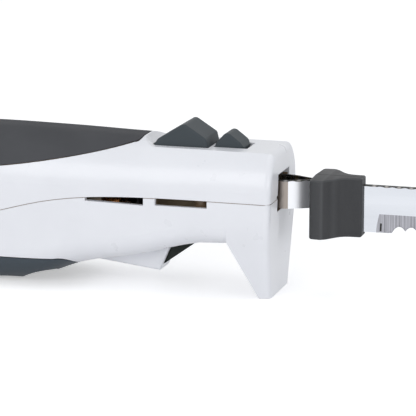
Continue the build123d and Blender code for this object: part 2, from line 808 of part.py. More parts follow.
def finger_block():
    """The left half of the dark block: a thick rear lip that scoops in to the blade."""
    length = block_front_x - block_rear_x
    corner, lip, *scoop = [(block_rear_x + length * along, block_half_width * out) for along, out in
                           (block_corner_share, block_lip_share, *block_scoop_shares)]
    start = (block_rear_x, block_face_y)
    end = (block_front_x, block_face_y)
    plan = make_face(Polyline(start, corner, lip) + Spline(lip, *scoop)
                     + Polyline(scoop[-1], end, start))
    for (x, y), radius in ((corner, block_corner_radius), (lip, block_lip_radius)):
        bend = [v for v in plan.vertices() if abs(v.X - x) < fit_gap and abs(v.Y - y) < fit_gap]
        plan = fillet(bend, radius)
    half = extrude(Pos(0, 0, block_low_z) * plan, amount=block_top_z - block_low_z, dir=(0, 0, 1))
    rims = [e for e in half.edges() if e.center().Y > 2 * blade_thickness
            and abs(e.center().Z - (block_low_z + block_top_z) / 2) > block_edge_radius]
    half = fillet(rims, block_edge_radius)
    slot = block(blade_heel_x, block_front_x + overrun, 0, blade_face_y + blade_thickness,
                 blade_bottom_z, blade_top_z)
    return half - slot - tang_room()


def tang_room():
    """The space in the finger block that the blade's tang fills."""
    inside = block(block_rear_x - overrun, blade_heel_x + blade_thickness, -overrun,
                   block_half_width, tang_bottom_z, tang_top_z)
    return blade_blank() & inside


# Motor
pole_neck_half = 4.6
pole_inner_radius = armature_radius + 0.5
pole_shoe = 1.7
yoke_inner_radius = 14.6
pole_half_angle = 58.0
coil_half_angle = 60.0
coil_overhang = 7.0
coil_gap = 0.05
slot_count = 12
slot_radius = 1.0
winding_length = 6.0
winding_radius = 9.4
commutator_radius = 6.0
commutator_rear_x = -110.0
commutator_front_x = -101.0
commutator_slot = 0.5
brush_half_width = 2.0
brush_half_height = 2.5
brush_length = 5.0
brush_x = -105.5
brush_tube_outer_y = 15.5
brush_tube_wall = 0.6
bracket_rear_x = -118.0
bracket_thickness = 3.0
bracket_half_width = 16.5
bracket_half_height = 16.0
bracket_post_radius = 1.1
bracket_post_angle = 65.0
rear_bearing_radius = 4.0
rear_bearing_length = 6.0
shaft_rear_x = -121.5
shaft_front_x = -22.5
fan_rear_x = -59.8
fan_front_x = -54.0
fan_radius = 10.4
fan_hub_radius = 4.4
fan_blades = 9
fan_blade_thickness = 0.9
fan_disc = 1.0
worm_bore_radius = 1.4
worm_root_radius = 2.3
worm_tip_radius = 4.0
worm_thread_root = 1.5
worm_thread_tip = 0.7


def sector(inner_radius, outer_radius, half_angle, x_low, x_high):
    """A curved bar round the motor's axis, centred on its left side."""
    ring = tube_x(x_low, x_high, outer_radius, inner_radius)
    reach = outer_radius + overrun
    side = reach / cos(radians(half_angle))
    corner = (side * cos(radians(half_angle)), side * sin(radians(half_angle)))
    fan = [(0, 0), corner, (corner[0] + reach, 0), (corner[0], -corner[1])]
    wedge = Plane.YZ.offset(x_low) * make_face(closed(fan))
    return ring & extrude(wedge, amount=x_high - x_low, dir=(1, 0, 0))


def stator():
    """The iron stack: an outer ring and two poles that reach in to the armature."""
    x_low, x_high = stator_rear_x, stator_front_x
    iron = tube_x(x_low, x_high, stator_radius, yoke_inner_radius)
    pole = sector(pole_inner_radius, pole_inner_radius + pole_shoe, pole_half_angle, x_low, x_high)
    pole += block(x_low, x_high, pole_inner_radius + pole_shoe / 2, yoke_inner_radius + pole_shoe / 2,
                  -pole_neck_half, pole_neck_half)
    return Pos(0, 0, motor_z) * (iron + both_sides(pole))


def field_coil():
    """The left field coil: a saddle of enamelled wire round the pole's neck."""
    inside = pole_inner_radius + pole_shoe + coil_gap
    outside = yoke_inner_radius - coil_gap
    coil = sector(inside, outside, coil_half_angle, stator_rear_x - coil_overhang,
                  stator_front_x + coil_overhang)
    neck = pole_neck_half + coil_gap
    coil -= block(stator_rear_x - coil_gap, stator_front_x + coil_gap, 0,
                  stator_radius, -neck, neck)
    return Pos(0, 0, motor_z) * coil


def armature_core():
    """The slotted iron core that turns between the poles."""
    core = tube_x(stator_rear_x, stator_front_x, armature_radius, shaft_radius)
    for number in range(slot_count):
        slot = block(stator_rear_x - overrun, stator_front_x + overrun, -slot_radius, slot_radius,
                     armature_radius - 3 * slot_radius, armature_radius + slot_radius)
        core -= Rot(360 * number / slot_count, 0, 0) * slot
    return Pos(0, 0, motor_z) * core


def armature_windings():
    """The copper that bulges out at both ends of the core, joined through its slots."""
    ends = tube_x(stator_rear_x - winding_length, stator_rear_x, winding_radius, shaft_radius)
    ends += tube_x(stator_front_x, stator_front_x + winding_length, winding_radius, shaft_radius)
    ends = fillet(ends.edges().filter_by(GeomType.CIRCLE).sort_by(lambda e: e.radius)[-4:],
                  2 * slot_radius)
    for number in range(slot_count):
        bar = block(stator_rear_x - slot_radius, stator_front_x + slot_radius,
                    -slot_radius + coil_gap, slot_radius - coil_gap,
                    armature_radius - 3 * slot_radius + coil_gap, winding_radius - slot_radius)
        ends += Rot(360 * number / slot_count, 0, 0) * bar
    return Pos(0, 0, motor_z) * ends


def commutator():
    drum = tube_x(commutator_rear_x, commutator_front_x, commutator_radius, shaft_radius)
    for number in range(slot_count):
        slot = block(commutator_rear_x - overrun, commutator_front_x - slot_radius,
                     -commutator_slot / 2, commutator_slot / 2,
                     commutator_radius - slot_radius, commutator_radius + slot_radius)
        drum -= Rot(360 * number / slot_count, 0, 0) * slot
    return Pos(0, 0, motor_z) * drum


def brush_tube():
    """The left brass tube that guides a carbon brush."""
    inner = commutator_radius + 2 * running_gap
    wall_y = brush_half_width + brush_tube_wall
    wall_z = brush_half_height + brush_tube_wall
    tube = block(brush_x - wall_y, brush_x + wall_y, inner, brush_tube_outer_y,
                 motor_z - wall_z, motor_z + wall_z)
    return tube - block(brush_x - brush_half_width, brush_x + brush_half_width, 0,
                        brush_tube_outer_y - brush_tube_wall,
                        motor_z - brush_half_height, motor_z + brush_half_height)


def brush():
    """The left carbon brush, hollowed to the commutator."""
    carbon = block(brush_x - brush_half_width, brush_x + brush_half_width,
                   commutator_radius - slot_radius, commutator_radius + brush_length,
                   motor_z - brush_half_height, motor_z + brush_half_height)
    return carbon - rod_x(brush_x - overrun, brush_x + overrun, commutator_radius + shaft_gap,
                          0, motor_z)


def brush_spring():
    """The left coil spring behind the brush."""
    low = commutator_radius + brush_length
    high = brush_tube_outer_y - brush_tube_wall
    wire = (brush_half_width - fit_gap) / 2
    coil = rod_y(low, high, 2 * wire, brush_x, motor_z)
    return coil - rod_y(low - overrun, high + overrun, wire, brush_x, motor_z)


def motor_bracket():
    """The moulded rear bracket: a plate, four posts to the stator, and seats for the brushes."""
    plate_front = bracket_rear_x + bracket_thickness
    plate = block(bracket_rear_x, plate_front, -bracket_half_width, bracket_half_width,
                  motor_z - bracket_half_height, motor_z + bracket_half_height)
    post_y = (stator_radius + yoke_inner_radius) / 2 * cos(radians(bracket_post_angle))
    post_z = (stator_radius + yoke_inner_radius) / 2 * sin(radians(bracket_post_angle))
    for side in (-1, 1):
        for level in (-1, 1):
            plate += rod_x(plate_front - overrun / 2, stator_rear_x, bracket_post_radius,
                           side * post_y, motor_z + level * post_z)
    seat_rear = plate_front
    seat_front = brush_x - brush_half_width - brush_tube_wall
    seat = block(seat_rear, seat_front, commutator_radius + 2 * running_gap + brush_tube_wall,
                 brush_tube_outer_y, motor_z - brush_half_height, motor_z + brush_half_height)
    plate += both_sides(seat)
    return plate - rod_x(bracket_rear_x - overrun, plate_front + overrun, rear_bearing_radius,
                         0, motor_z)


def rear_bearing():
    middle = bracket_rear_x + bracket_thickness / 2
    return tube_x(middle - rear_bearing_length / 2, middle + rear_bearing_length / 2,
                  rear_bearing_radius, shaft_radius + shaft_gap, 0, motor_z)


def motor_shaft():
    """The steel shaft, turned down where the worm is pressed on."""
    return rod_x(shaft_rear_x, gear_x - worm_length / 2, shaft_radius, 0, motor_z) + \
        rod_x(gear_x - worm_length / 2, shaft_front_x, worm_bore_radius, 0, motor_z)


def cooling_fan():
    fan = tube_x(fan_rear_x, fan_front_x, fan_hub_radius, shaft_radius)
    fan += tube_x(fan_front_x - fan_disc, fan_front_x, fan_radius, shaft_radius)
    for number in range(fan_blades):
        vane = block(fan_rear_x, fan_front_x, -fan_blade_thickness / 2, fan_blade_thickness / 2,
                     fan_hub_radius - fan_disc / 2, fan_radius)
        fan += Rot(360 * number / fan_blades, 0, 0) * vane
    return Pos(0, 0, motor_z) * fan


def worm():
    """The single-start worm. A gap of its thread lies under the gear's lowest tooth."""
    pitch = pi * gear_module
    turns = round(worm_length / pitch) - 1
    length = turns * pitch
    sunk = worm_root_radius - 0.2 * gear_module
    helix = Helix(pitch=pitch, height=length, radius=sunk)
    start = Plane(origin=(sunk, 0, 0), x_dir=(1, 0, 0), z_dir=(0, 1, 0))
    depth = worm_tip_radius - sunk
    profile = make_face(closed([(0, -worm_thread_root / 2), (depth, -worm_thread_tip / 2),
                                (depth, worm_thread_tip / 2), (0, worm_thread_root / 2)]))
    thread = sweep(start * profile, path=helix, is_frenet=True)
    core = Pos(0, 0, length / 2) * Cylinder(worm_root_radius, worm_length)
    screw = Pos(0, 0, -length / 2) * (thread + core)
    screw -= Cylinder(worm_bore_radius, worm_length + overrun)
    return Pos(gear_x, 0, motor_z) * Rot(0, 90, 0) * screw


# Switch, springs and electrical pieces
switch_rear_x = -50.5
switch_front_x = -34.5
switch_inner_y = 10.0
switch_outer_y = 16.2
switch_low_z = 24.6
switch_high_z = 34.6
switch_tab_thickness = 0.8
switch_tab_half = 1.6
switch_tab_length = 5.0
plunger_radius = 1.1
plunger_y = 12.0
plunger_travel = 3.2
capacitor_rear_x = -172.0
capacitor_front_x = -150.0
capacitor_half_width = 8.0
capacitor_low_z = 22.0
capacitor_high_z = 38.0
capacitor_edge = 1.5
clamp_x = -200.0
clamp_half_length = 5.0
clamp_half_width = 12.0
clamp_thickness = 3.0
clamp_z = 30.0
clamp_screw_y = 9.0
spring_wire = 0.45
trigger_spring_radius = 1.9
trigger_spring_turns = 5
lock_spring_x = -36.5
lock_spring_wire = 0.25
lock_spring_radius = 0.95
lock_spring_turns = 4
release_spring_radius = 1.3
release_spring_turns = 5
release_stop_x = -7.6
release_stop_drop = 6.0


def switch_body():
    """The snap switch beside the gear frame, with the bore of its plunger."""
    case = block(switch_rear_x, switch_front_x, switch_inner_y, switch_outer_y,
                 switch_low_z, switch_high_z)
    bore = rod_z(switch_low_z - overrun, switch_low_z + 2 * plunger_travel,
                 plunger_radius + fit_gap, trigger_lug_x, plunger_y)
    return case - bore


def switch_plunger():
    low = trigger_lug_top_z + running_gap
    return rod_z(low, switch_low_z + plunger_travel, plunger_radius, trigger_lug_x, plunger_y)


def switch_terminals():
    """Two brass tabs on top of the switch."""
    tabs = Part()
    for share in (1 / 4, 3 / 4):
        x = switch_rear_x + (switch_front_x - switch_rear_x) * share
        middle = (switch_inner_y + switch_outer_y) / 2
        tabs += block(x - switch_tab_thickness / 2, x + switch_tab_thickness / 2,
                      middle - switch_tab_half, middle + switch_tab_half,
                      switch_high_z, switch_high_z + switch_tab_length)
    return tabs


def capacitor():
    """The film capacitor that quiets the motor."""
    case = block(capacitor_rear_x, capacitor_front_x, -capacitor_half_width,
                 capacitor_half_width, capacitor_low_z, capacitor_high_z)
    return fillet(case.edges().filter_by(Axis.X), capacitor_edge)


def clamp_bar():
    """The bar that would press the mains lead down inside the tail."""
    bar = block(clamp_x - clamp_half_length, clamp_x + clamp_half_length, -clamp_half_width,
                clamp_half_width, clamp_z, clamp_z + clamp_thickness)
    bar -= rod_x(clamp_x - overrun, clamp_x + overrun, inlet_bore, 0, clamp_z - inlet_bore / 2)
    for side in (-1, 1):
        bar -= rod_z(clamp_z - overrun, clamp_z + overrun, screw_radius, clamp_x,
                     side * clamp_screw_y)
    return bar


def clamp_screws():
    screws = Part()
    for side in (-1, 1):
        screws += rod_z(clamp_z - 2 * clamp_thickness, clamp_z + clamp_thickness, screw_radius,
                        clamp_x, side * clamp_screw_y)
        screws += rod_z(clamp_z + clamp_thickness, clamp_z + clamp_thickness + screw_head_height,
                        screw_head_radius, clamp_x, side * clamp_screw_y)
    return screws


def clamp_posts():
    """Two posts in the lower shell that carry the clamp bar."""
    posts = Part()
    for side in (-1, 1):
        post = rod_z(-overrun, clamp_z, boss_radius, clamp_x, side * clamp_screw_y)
        posts += post - rod_z(clamp_z - 2 * clamp_thickness, clamp_z + overrun, screw_radius,
                              clamp_x, side * clamp_screw_y)
    return posts


def standing_spring(height, radius, wire, turns):
    """A round-wire compression spring that stands on z = 0, its wire inside its two ends."""
    rise = height - 2 * (wire + fit_gap)
    helix = Helix(pitch=rise / turns, height=rise, radius=radius)
    start = Plane(origin=(radius, 0, 0), x_dir=(1, 0, 0), z_dir=(0, 1, 0))
    coil = sweep(start * Circle(wire), path=helix, is_frenet=True)
    return Pos(0, 0, wire + fit_gap) * coil


def trigger_spring():
    """The spring between the trigger's back and the foot of the gear frame."""
    low = trigger_pivot_z + trigger_back_radius
    spring = standing_spring(frame_low_z - low, trigger_spring_radius, spring_wire,
                             trigger_spring_turns)
    return Pos(frame_rear_x + frame_wall / 2, 0, low) * spring


def lock_springs():
    """Two small springs on the gear frame's cheeks that lift the large button."""
    height = deck_z - deck_thickness - running_gap - button_floor - frame_top_z
    spring = standing_spring(height, lock_spring_radius, lock_spring_wire, lock_spring_turns)
    middle_y = (frame_inner_y + frame_outer_y) / 2
    return both_sides(Pos(lock_spring_x, middle_y, frame_top_z) * spring)


def release_spring():
    """The spring that lies between the small button's stem and its stop."""
    rear = release_apex_x + button_stem_half
    height = release_stop_x - rear
    spring = standing_spring(height, release_spring_radius, spring_wire / 2, release_spring_turns)
    return Pos(rear, 0, release_spring_z()) * Rot(0, 90, 0) * spring


def release_spring_z():
    under = deck_z - deck_thickness - running_gap - button_floor
    return under - release_spring_radius - spring_wire


def release_stop():
    """The short wall under the deck that the small button's spring pushes against."""
    return block(release_stop_x, release_stop_x + wall, -release_stem_half_width,
                 release_stem_half_width, deck_z - release_stop_drop - deck_thickness, deck_z)


def cavity_ribs():
    """Cross walls that fill the lower shell up to the pieces they carry."""
    half = handle_half_width
    rear_rib = stator_rear_x + 2 * wall
    front_rib = stator_front_x - 2 * wall
    ribs = Part()
    for x in (rear_rib, front_rib):
        ribs += block(x - wall / 2, x + wall / 2, -half, half, -overrun, motor_z)
    bracket_x = bracket_rear_x + bracket_thickness / 2
    ribs += block(bracket_x - wall, bracket_x + wall, -half, half, -overrun,
                  motor_z - bracket_half_height)
    for x in (capacitor_rear_x + wall, capacitor_front_x - wall):
        ribs += block(x - wall / 2, x + wall / 2, -capacitor_half_width, capacitor_half_width,
                      -overrun, capacitor_low_z)
    for side in (-1, 1):
        low_y = min(side * frame_inner_y, side * frame_outer_y)
        for x in (frame_rear_x + wall, frame_step_x - wall):
            ribs += block(x - wall / 2, x + wall / 2, low_y, low_y + frame_outer_y - frame_inner_y,
                          -overrun, frame_low_z)
    ribs += block(switch_rear_x, switch_rear_x + wall, switch_inner_y, switch_outer_y,
                  -overrun, switch_low_z)
    motor_room = rod_x(stator_rear_x, stator_front_x, stator_radius, 0, motor_z)
    return ribs - motor_room


def save_all(pieces):
    for node, shape in pieces.items():
        export_step(shape, f"parts/{node}.step")


os.makedirs("parts", exist_ok=True)

outer = outer_form()
inner = inner_form()
fin = trigger_fin()
pocket = trigger_pocket()
pin = trigger_pin()
upper_side = above_parting(0)
lower_side = above_parting(-parting_gap)

cover_layer = skin(inlay_thickness)
top_inlay = (cover_layer & inlay_region(-inlay_groove)) - deck_cut()
grip = lower_grip() - screw_holes()

upper_inside = deck_plate() + upper_bosses() + release_stop()
upper_housing = (outer - inner) + (upper_inside & outer)
upper_housing = (upper_housing & upper_side) - button_slots() - mouth()
upper_housing -= (cover_layer & inlay_region(0)) + screw_holes() + inlet_hole()

lower_shell = (outer - inner) - lower_side - vents()
grip_backing = (inner - handle_loft(wall + grip_thickness)) & grip_region(0)
lower_inside = cavity_ribs() + lower_bosses() + clamp_posts() + grip_backing
lower_inside = lower_inside & (inner - lower_side)
grip_seat = skin(grip_thickness) & grip_region(inlay_groove)
lower_shell += seam_tongue() - vents()
lower_housing = lower_shell + lower_inside + (fin - inner) - pocket - pin - mouth()
lower_housing -= grip_seat + screw_holes() + inlet_hole()

save_all({
    "upper_housing": upper_housing,
    "lower_housing": lower_housing,
    "top_inlay": top_inlay,
    "lower_grip": grip,
    "case_screws": case_screws(),
    "cord_inlet": cord_inlet(),
    "trigger": trigger(),
    "trigger_pin": pin,
    "trigger_spring": trigger_spring(),
    "lock_springs": lock_springs(),
    "release_spring": release_spring(),
    "lock_button": lock_button(),
    "release_button": release_button(),
    "eccentric_gear": eccentric_gear(),
    "gear_axle": gear_axle(),
    "gear_frame": gear_frame(),
    "front_bearing": front_bearing(),
    "worm": worm(),
    "left_driver": driver(),
    "right_driver": mirrored(driver()),
    "left_catch": blade_catch(),
    "right_catch": mirrored(blade_catch()),
    "left_blade": left_blade(),
    "right_blade": right_blade(),
    "tip_rivet": tip_rivet(),
    "left_finger_block": finger_block(),
    "right_finger_block": mirrored(finger_block()),
    "stator_core": stator(),
    "left_field_coil": field_coil(),
    "right_field_coil": mirrored(field_coil()),
    "armature_core": armature_core(),
    "armature_windings": armature_windings(),
    "commutator": commutator(),
    "left_brush_tube": brush_tube(),
    "right_brush_tube": mirrored(brush_tube()),
    "left_brush": brush(),
    "right_brush": mirrored(brush()),
    "left_brush_spring": brush_spring(),
    "right_brush_spring": mirrored(brush_spring()),
    "motor_bracket": motor_bracket(),
    "rear_bearing": rear_bearing(),
    "motor_shaft": motor_shaft(),
    "cooling_fan": cooling_fan(),
    "switch_body": switch_body(),
    "switch_plunger": switch_plunger(),
    "switch_terminals": switch_terminals(),
    "capacitor": capacitor(),
    "clamp_bar": clamp_bar(),
    "clamp_screws": clamp_screws(),
})
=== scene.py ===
import math

import bmesh
import bpy
import numpy as np
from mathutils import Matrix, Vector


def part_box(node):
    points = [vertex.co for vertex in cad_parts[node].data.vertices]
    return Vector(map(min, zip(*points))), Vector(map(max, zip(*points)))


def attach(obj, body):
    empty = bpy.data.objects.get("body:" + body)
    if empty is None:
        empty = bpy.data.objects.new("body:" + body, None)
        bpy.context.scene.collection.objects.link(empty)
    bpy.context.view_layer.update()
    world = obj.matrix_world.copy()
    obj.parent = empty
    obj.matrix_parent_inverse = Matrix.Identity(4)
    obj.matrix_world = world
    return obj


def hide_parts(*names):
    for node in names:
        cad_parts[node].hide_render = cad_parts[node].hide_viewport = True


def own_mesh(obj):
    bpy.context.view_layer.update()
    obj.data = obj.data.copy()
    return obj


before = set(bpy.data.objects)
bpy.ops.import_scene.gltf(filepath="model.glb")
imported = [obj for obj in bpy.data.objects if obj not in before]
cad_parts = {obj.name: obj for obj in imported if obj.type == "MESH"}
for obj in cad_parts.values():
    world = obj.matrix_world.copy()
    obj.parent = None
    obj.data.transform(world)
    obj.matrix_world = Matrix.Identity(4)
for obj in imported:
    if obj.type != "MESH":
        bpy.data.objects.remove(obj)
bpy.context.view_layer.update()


# Handle shells: two halves of white ABS, glossy from the mould and screwed together from below.
# The lower one carries the hand guard, the air slots and the trigger fin. The surface has the
# faint orange peel of a polished mould. Painted shade in a dust tan lies in the seam and other
# tight crevices, and painted brown shade darkens the inside of the handle and the blade mouth.
tone_ends = (0.3, 0.7)
plastic_cloud_scale = 45.0
smudge_scale, smudge_detail = 90.0, 5.0
grain_detail, grain_strength = 2.0, 0.35
# Painted shade: the seam's tan where ambient occlusion finds little open space, and the brown in
# two boxes inside the handle and the blade mouth.
seam_painted_shade = (0.36, 0.26, 0.18)
seam_reach = 0.002
seam_shut, seam_open = 0.12, 0.50
seam_samples = 8
inside_painted_shade = (0.22, 0.15, 0.095)
shaded_room = ((-0.0950, -0.0196, 0.0300), (-0.0080, 0.0196, 0.0450))
shaded_mouth = ((-0.0200, -0.0087, 0.0343), (0.0034, 0.0087, 0.0473))


def bare_material(name):
    """A new material, its node tree and its shader."""
    material = bpy.data.materials.new(name)
    material.use_nodes = True
    tree = material.node_tree
    return material, tree, tree.nodes["Principled BSDF"]


def object_place(tree):
    """Where a point lies in the object's own coordinates."""
    return tree.nodes.new("ShaderNodeTexCoord").outputs["Object"]


def along_axes(tree, place):
    """The three coordinates of a place, by their letters."""
    axes = tree.nodes.new("ShaderNodeSeparateXYZ")
    tree.links.new(place, axes.inputs["Vector"])
    return axes.outputs


def worked_out(tree, operation, first, second=0.0):
    """One step of arithmetic on a value, with a plain number or with another value."""
    step = tree.nodes.new("ShaderNodeMath")
    step.operation = operation
    tree.links.new(first, step.inputs[0])
    if isinstance(second, float):
        step.inputs[1].default_value = second
    else:
        tree.links.new(second, step.inputs[1])
    return step.outputs["Value"]


def noise(tree, scale, detail=3.0, stretch=(1.0, 1.0, 1.0)):
    """Noise from 0 to 1 in the object's own coordinates, stretched along each axis."""
    mapping = tree.nodes.new("ShaderNodeMapping")
    texture = tree.nodes.new("ShaderNodeTexNoise")
    mapping.inputs["Scale"].default_value = stretch
    texture.inputs["Scale"].default_value = scale
    texture.inputs["Detail"].default_value = detail
    tree.links.new(object_place(tree), mapping.inputs["Vector"])
    tree.links.new(mapping.outputs["Vector"], texture.inputs["Vector"])
    return texture.outputs["Fac"]


def ramp(tree, value, stops):
    """Colours laid along a value, blended between stops: a place from 0 to 1 and a colour each."""
    node = tree.nodes.new("ShaderNodeValToRGB")
    while len(node.color_ramp.elements) < len(stops):
        node.color_ramp.elements.new(1.0)
    for element, (place, colour) in zip(node.color_ramp.elements, stops):
        element.position = place
        element.color = (*colour, 1.0)
    tree.links.new(value, node.inputs["Fac"])
    return node.outputs["Color"]


def two_tone(tree, value, dark, light, ends=tone_ends):
    """Dark up to the first end of a value, light past the second, and a blend between them."""
    return ramp(tree, value, [(ends[0], dark), (ends[1], light)])


def uneven_gloss(tree, shader, value, gloss):
    """Roughness from the first figure where a value is 0 to the second where it is 1."""
    node = tree.nodes.new("ShaderNodeMapRange")
    node.inputs["To Min"].default_value, node.inputs["To Max"].default_value = gloss
    tree.links.new(value, node.inputs["Value"])
    tree.links.new(node.outputs["Result"], shader.inputs["Roughness"])


def roughen(tree, shader, height, strength, depth):
    """A bump on the shader from a height of 0 to 1, which stands for a depth in metres."""
    bump = tree.nodes.new("ShaderNodeBump")
    bump.inputs["Strength"].default_value = strength
    bump.inputs["Distance"].default_value = depth
    tree.links.new(height, bump.inputs["Height"])
    tree.links.new(bump.outputs["Normal"], shader.inputs["Normal"])


def blended(tree, share, below, above):
    """The first colour where the share is 0, the second, a plain one, where it is 1."""
    mix = tree.nodes.new("ShaderNodeMix")
    mix.data_type = "RGBA"
    tree.links.new(share, mix.inputs["Factor"])
    tree.links.new(below, mix.inputs["A"])
    mix.inputs["B"].default_value = (*above, 1.0)
    return mix.outputs["Result"]


def inside_box(tree, low, high):
    """1 inside the box between two corners, given in metres, and 0 outside it.

    A point is inside where its distance from the middle, less half the box's size, is below 0
    along every axis, so the largest of the three decides.
    """
    low, high = np.array(low), np.array(high)
    place = object_place(tree)
    for operation, figure in (("SUBTRACT", (low + high) / 2), ("ABSOLUTE", np.zeros(3)),
                              ("SUBTRACT", (high - low) / 2)):
        step = tree.nodes.new("ShaderNodeVectorMath")
        step.operation = operation
        tree.links.new(place, step.inputs[0])
        step.inputs[1].default_value = figure
        place = step.outputs["Vector"]
    axes = along_axes(tree, place)
    furthest = worked_out(tree, "MAXIMUM", axes["X"], axes["Y"])
    furthest = worked_out(tree, "MAXIMUM", furthest, axes["Z"])
    return worked_out(tree, "LESS_THAN", furthest, 0.0)


def moulded_plastic(name, dark, light, gloss, grain_scale, grain_depth, specular=0.5,
                    cloud_scale=plastic_cloud_scale, laid_over=None):
    """Plastic straight from a mould: two close colours in soft clouds, smudged gloss, fine grain.

    Each of the three is a noise of its own scale. Painted shade, on the shells, and painted
    highlights, on the finger blocks, are laid over the colour by a function of the tree and that
    colour.
    """
    material, tree, shader = bare_material(name)
    colour = two_tone(tree, noise(tree, cloud_scale), dark, light)
    if laid_over:
        colour = laid_over(tree, colour)
    tree.links.new(colour, shader.inputs["Base Color"])
    uneven_gloss(tree, shader, noise(tree, smudge_scale, smudge_detail), gloss)
    roughen(tree, shader, noise(tree, grain_scale, grain_detail), grain_strength, grain_depth)
    shader.inputs["Specular IOR Level"].default_value = specular
    return material


def shell_painted_shade(tree, colour):
    """Painted brown shade inside the two boxes, then painted tan shade where little space nearby is
    open.
    """
    for low, high in (shaded_room, shaded_mouth):
        colour = blended(tree, inside_box(tree, low, high), colour, inside_painted_shade)
    openness = tree.nodes.new("ShaderNodeAmbientOcclusion")
    openness.samples = seam_samples
    openness.inputs["Distance"].default_value = seam_reach
    in_seam = two_tone(tree, openness.outputs["AO"], dark=(1.0, 1.0, 1.0), light=(0.0, 0.0, 0.0),
                       ends=(seam_shut, seam_open))
    return blended(tree, in_seam, colour, seam_painted_shade)


def dress(material, *nodes):
    """Lays one material on CAD nodes, in place of the plain one that they came with."""
    for node in nodes:
        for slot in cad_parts[node].material_slots:
            slot.material = material


shell_plastic = moulded_plastic("shell_plastic", dark=(0.79, 0.80, 0.84), light=(0.82, 0.83, 0.87),
                                gloss=(0.25, 0.32), grain_scale=700.0, grain_depth=0.00002,
                                laid_over=shell_painted_shade)
dress(shell_plastic, "upper_housing", "lower_housing")


# Soft covers: a slate elastomer leaf let into the top of the handle and a darker rubber grip under
# it. Both are moulded on, and their skin has a fine matt spark-eroded grain.
cover_elastomer = moulded_plastic("cover_elastomer", dark=(0.074, 0.076, 0.082),
                                  light=(0.086, 0.088, 0.095), gloss=(0.60, 0.70),
                                  grain_scale=2600.0, grain_depth=0.00004, specular=0.04)
dress(cover_elastomer, "top_inlay")
grip_rubber = moulded_plastic("grip_rubber", dark=(0.036, 0.050, 0.064),
                              light=(0.046, 0.060, 0.074), gloss=(0.44, 0.55),
                              grain_scale=2300.0, grain_depth=0.00004, specular=0.35)
dress(grip_rubber, "lower_grip")


# Thumb wedges: the safety lock behind and the blade release in front of it, both of dark satin
# plastic. Each is moulded with a skirt under the deck that keeps it in its slot.
button_plastic = moulded_plastic("button_plastic", dark=(0.058, 0.069, 0.077),
                                 light=(0.068, 0.079, 0.087), gloss=(0.34, 0.40),
                                 grain_scale=1900.0, grain_depth=0.00001, specular=0.05)
dress(button_plastic, "lock_button", "release_button")


# Trigger: a lever of nearly black plastic, moulded with a fine grain. It swings on a steel pin in
# the white fin's pocket, and works the switch with an arm of its own.
trigger_plastic = moulded_plastic("trigger_plastic", dark=(0.014, 0.019, 0.016),
                                  light=(0.020, 0.025, 0.022), gloss=(0.45, 0.55),
                                  grain_scale=1900.0, grain_depth=0.00004, specular=0.15)
dress(trigger_plastic, "trigger")


# Finger blocks: dark satin plastic moulded round the heel of each blade, to pull the blades out by.
# Each half has a thick lip at the rear for the finger tips, and scoops in towards the blade.
# Shares are of the block's length along it, and of its half width across it.
sides = ((1, "left"), (-1, "right"))
block_x = (0.0168, 0.0369)
block_z = (0.0251, 0.0490)
block_half_width = 0.0128
block_inner_y = 0.0002
rear_corner_share = (0.03, 0.96)
lip_start_share = 0.26
lip_crest_share = 1.04
front_width_share = 0.305
scoop_middle_share = 0.475
scoop_softness_share = 0.080
scoop_points = 12
scoop_radius = 0.004
rear_corner_radius = 0.0018
lip_radius = 0.0011
front_corner_radius = 0.0010
rim_radius = 0.0007
rim_points = 6
arc_points = 7
rim_slope = (0.3, 0.9)
sharp_angle = math.radians(32.0)
merge_distance = 2e-7
no_size = 1e-7
# Painted highlights: lighter bands along the lip's edge and down the scoop, by share of the block's
# length.
no_highlight, half_highlight, full_highlight = (0.0, 0.0, 0.0), (0.45, 0.45, 0.45), (0.9, 0.9, 0.9)
highlight_places = [(0.0, no_highlight), (0.24, half_highlight), (0.29, full_highlight),
                 (0.33, no_highlight), (0.42, no_highlight), (0.49, half_highlight), (0.56, no_highlight)]
block_cloud_lift = 1.12


def rounded_path(corners, radii):
    """A line through corners, each turned by an arc of its own radius that touches both sides.

    The arc's middle lies on the line that halves the corner, its radius over the sine of half the
    angle away. Its points are those of the chord between both touching points, pushed out to
    the radius.
    """
    path = [corners[:1]]
    share = np.linspace(0.0, 1.0, arc_points)[:, None]
    for before, corner, after, radius in zip(corners[:-2], corners[1:-1], corners[2:], radii):
        back = (before - corner) / np.linalg.norm(before - corner)
        ahead = (after - corner) / np.linalg.norm(after - corner)
        half_angle = math.acos(np.clip(back @ ahead, -1.0, 1.0)) / 2
        halving = (back + ahead) / np.linalg.norm(back + ahead)
        middle = corner + halving * radius / math.sin(half_angle)
        reach = radius / math.tan(half_angle)
        chord = (corner + back * reach) * (1 - share) + (corner + ahead * reach) * share - middle
        path.append(middle + chord / np.linalg.norm(chord, axis=1)[:, None] * radius)
    path.append(corners[-1:])
    return np.concatenate(path)


def block_plan():
    """The outside of one half from above: rear face, lip, and a scoop down to the front.

    The scoop's width falls as a logistic step, 1 over 1 plus e to the distance from its middle in
    units of its softness, from the lip's crest to the front's width.
    """
    rear, front = block_x
    length = front - rear
    share = np.linspace(lip_start_share, 1.0, scoop_points)
    fall = 1 / (1 + np.exp((share - scoop_middle_share) / scoop_softness_share))
    width_share = front_width_share + (lip_crest_share - front_width_share) * fall
    scoop = np.stack([rear + length * share, block_half_width * width_share], axis=1)
    rear_corner = (rear + length * rear_corner_share[0], block_half_width * rear_corner_share[1])
    corners = np.concatenate([[(rear, block_inner_y), rear_corner], scoop,
                              [(front, block_inner_y)]])
    radii = [rear_corner_radius, lip_radius, *[scoop_radius] * (scoop_points - 2),
             front_corner_radius]
    return rounded_path(corners, radii)


def grid_faces(grid, flip=False):
    """Four-sided faces between neighbours in a grid of point numbers, turned over by flip."""
    faces = np.stack([grid[:-1, :-1], grid[1:, :-1], grid[1:, 1:], grid[:-1, 1:]], axis=2)
    return faces.reshape(-1, 4)[:, ::-1] if flip else faces.reshape(-1, 4)


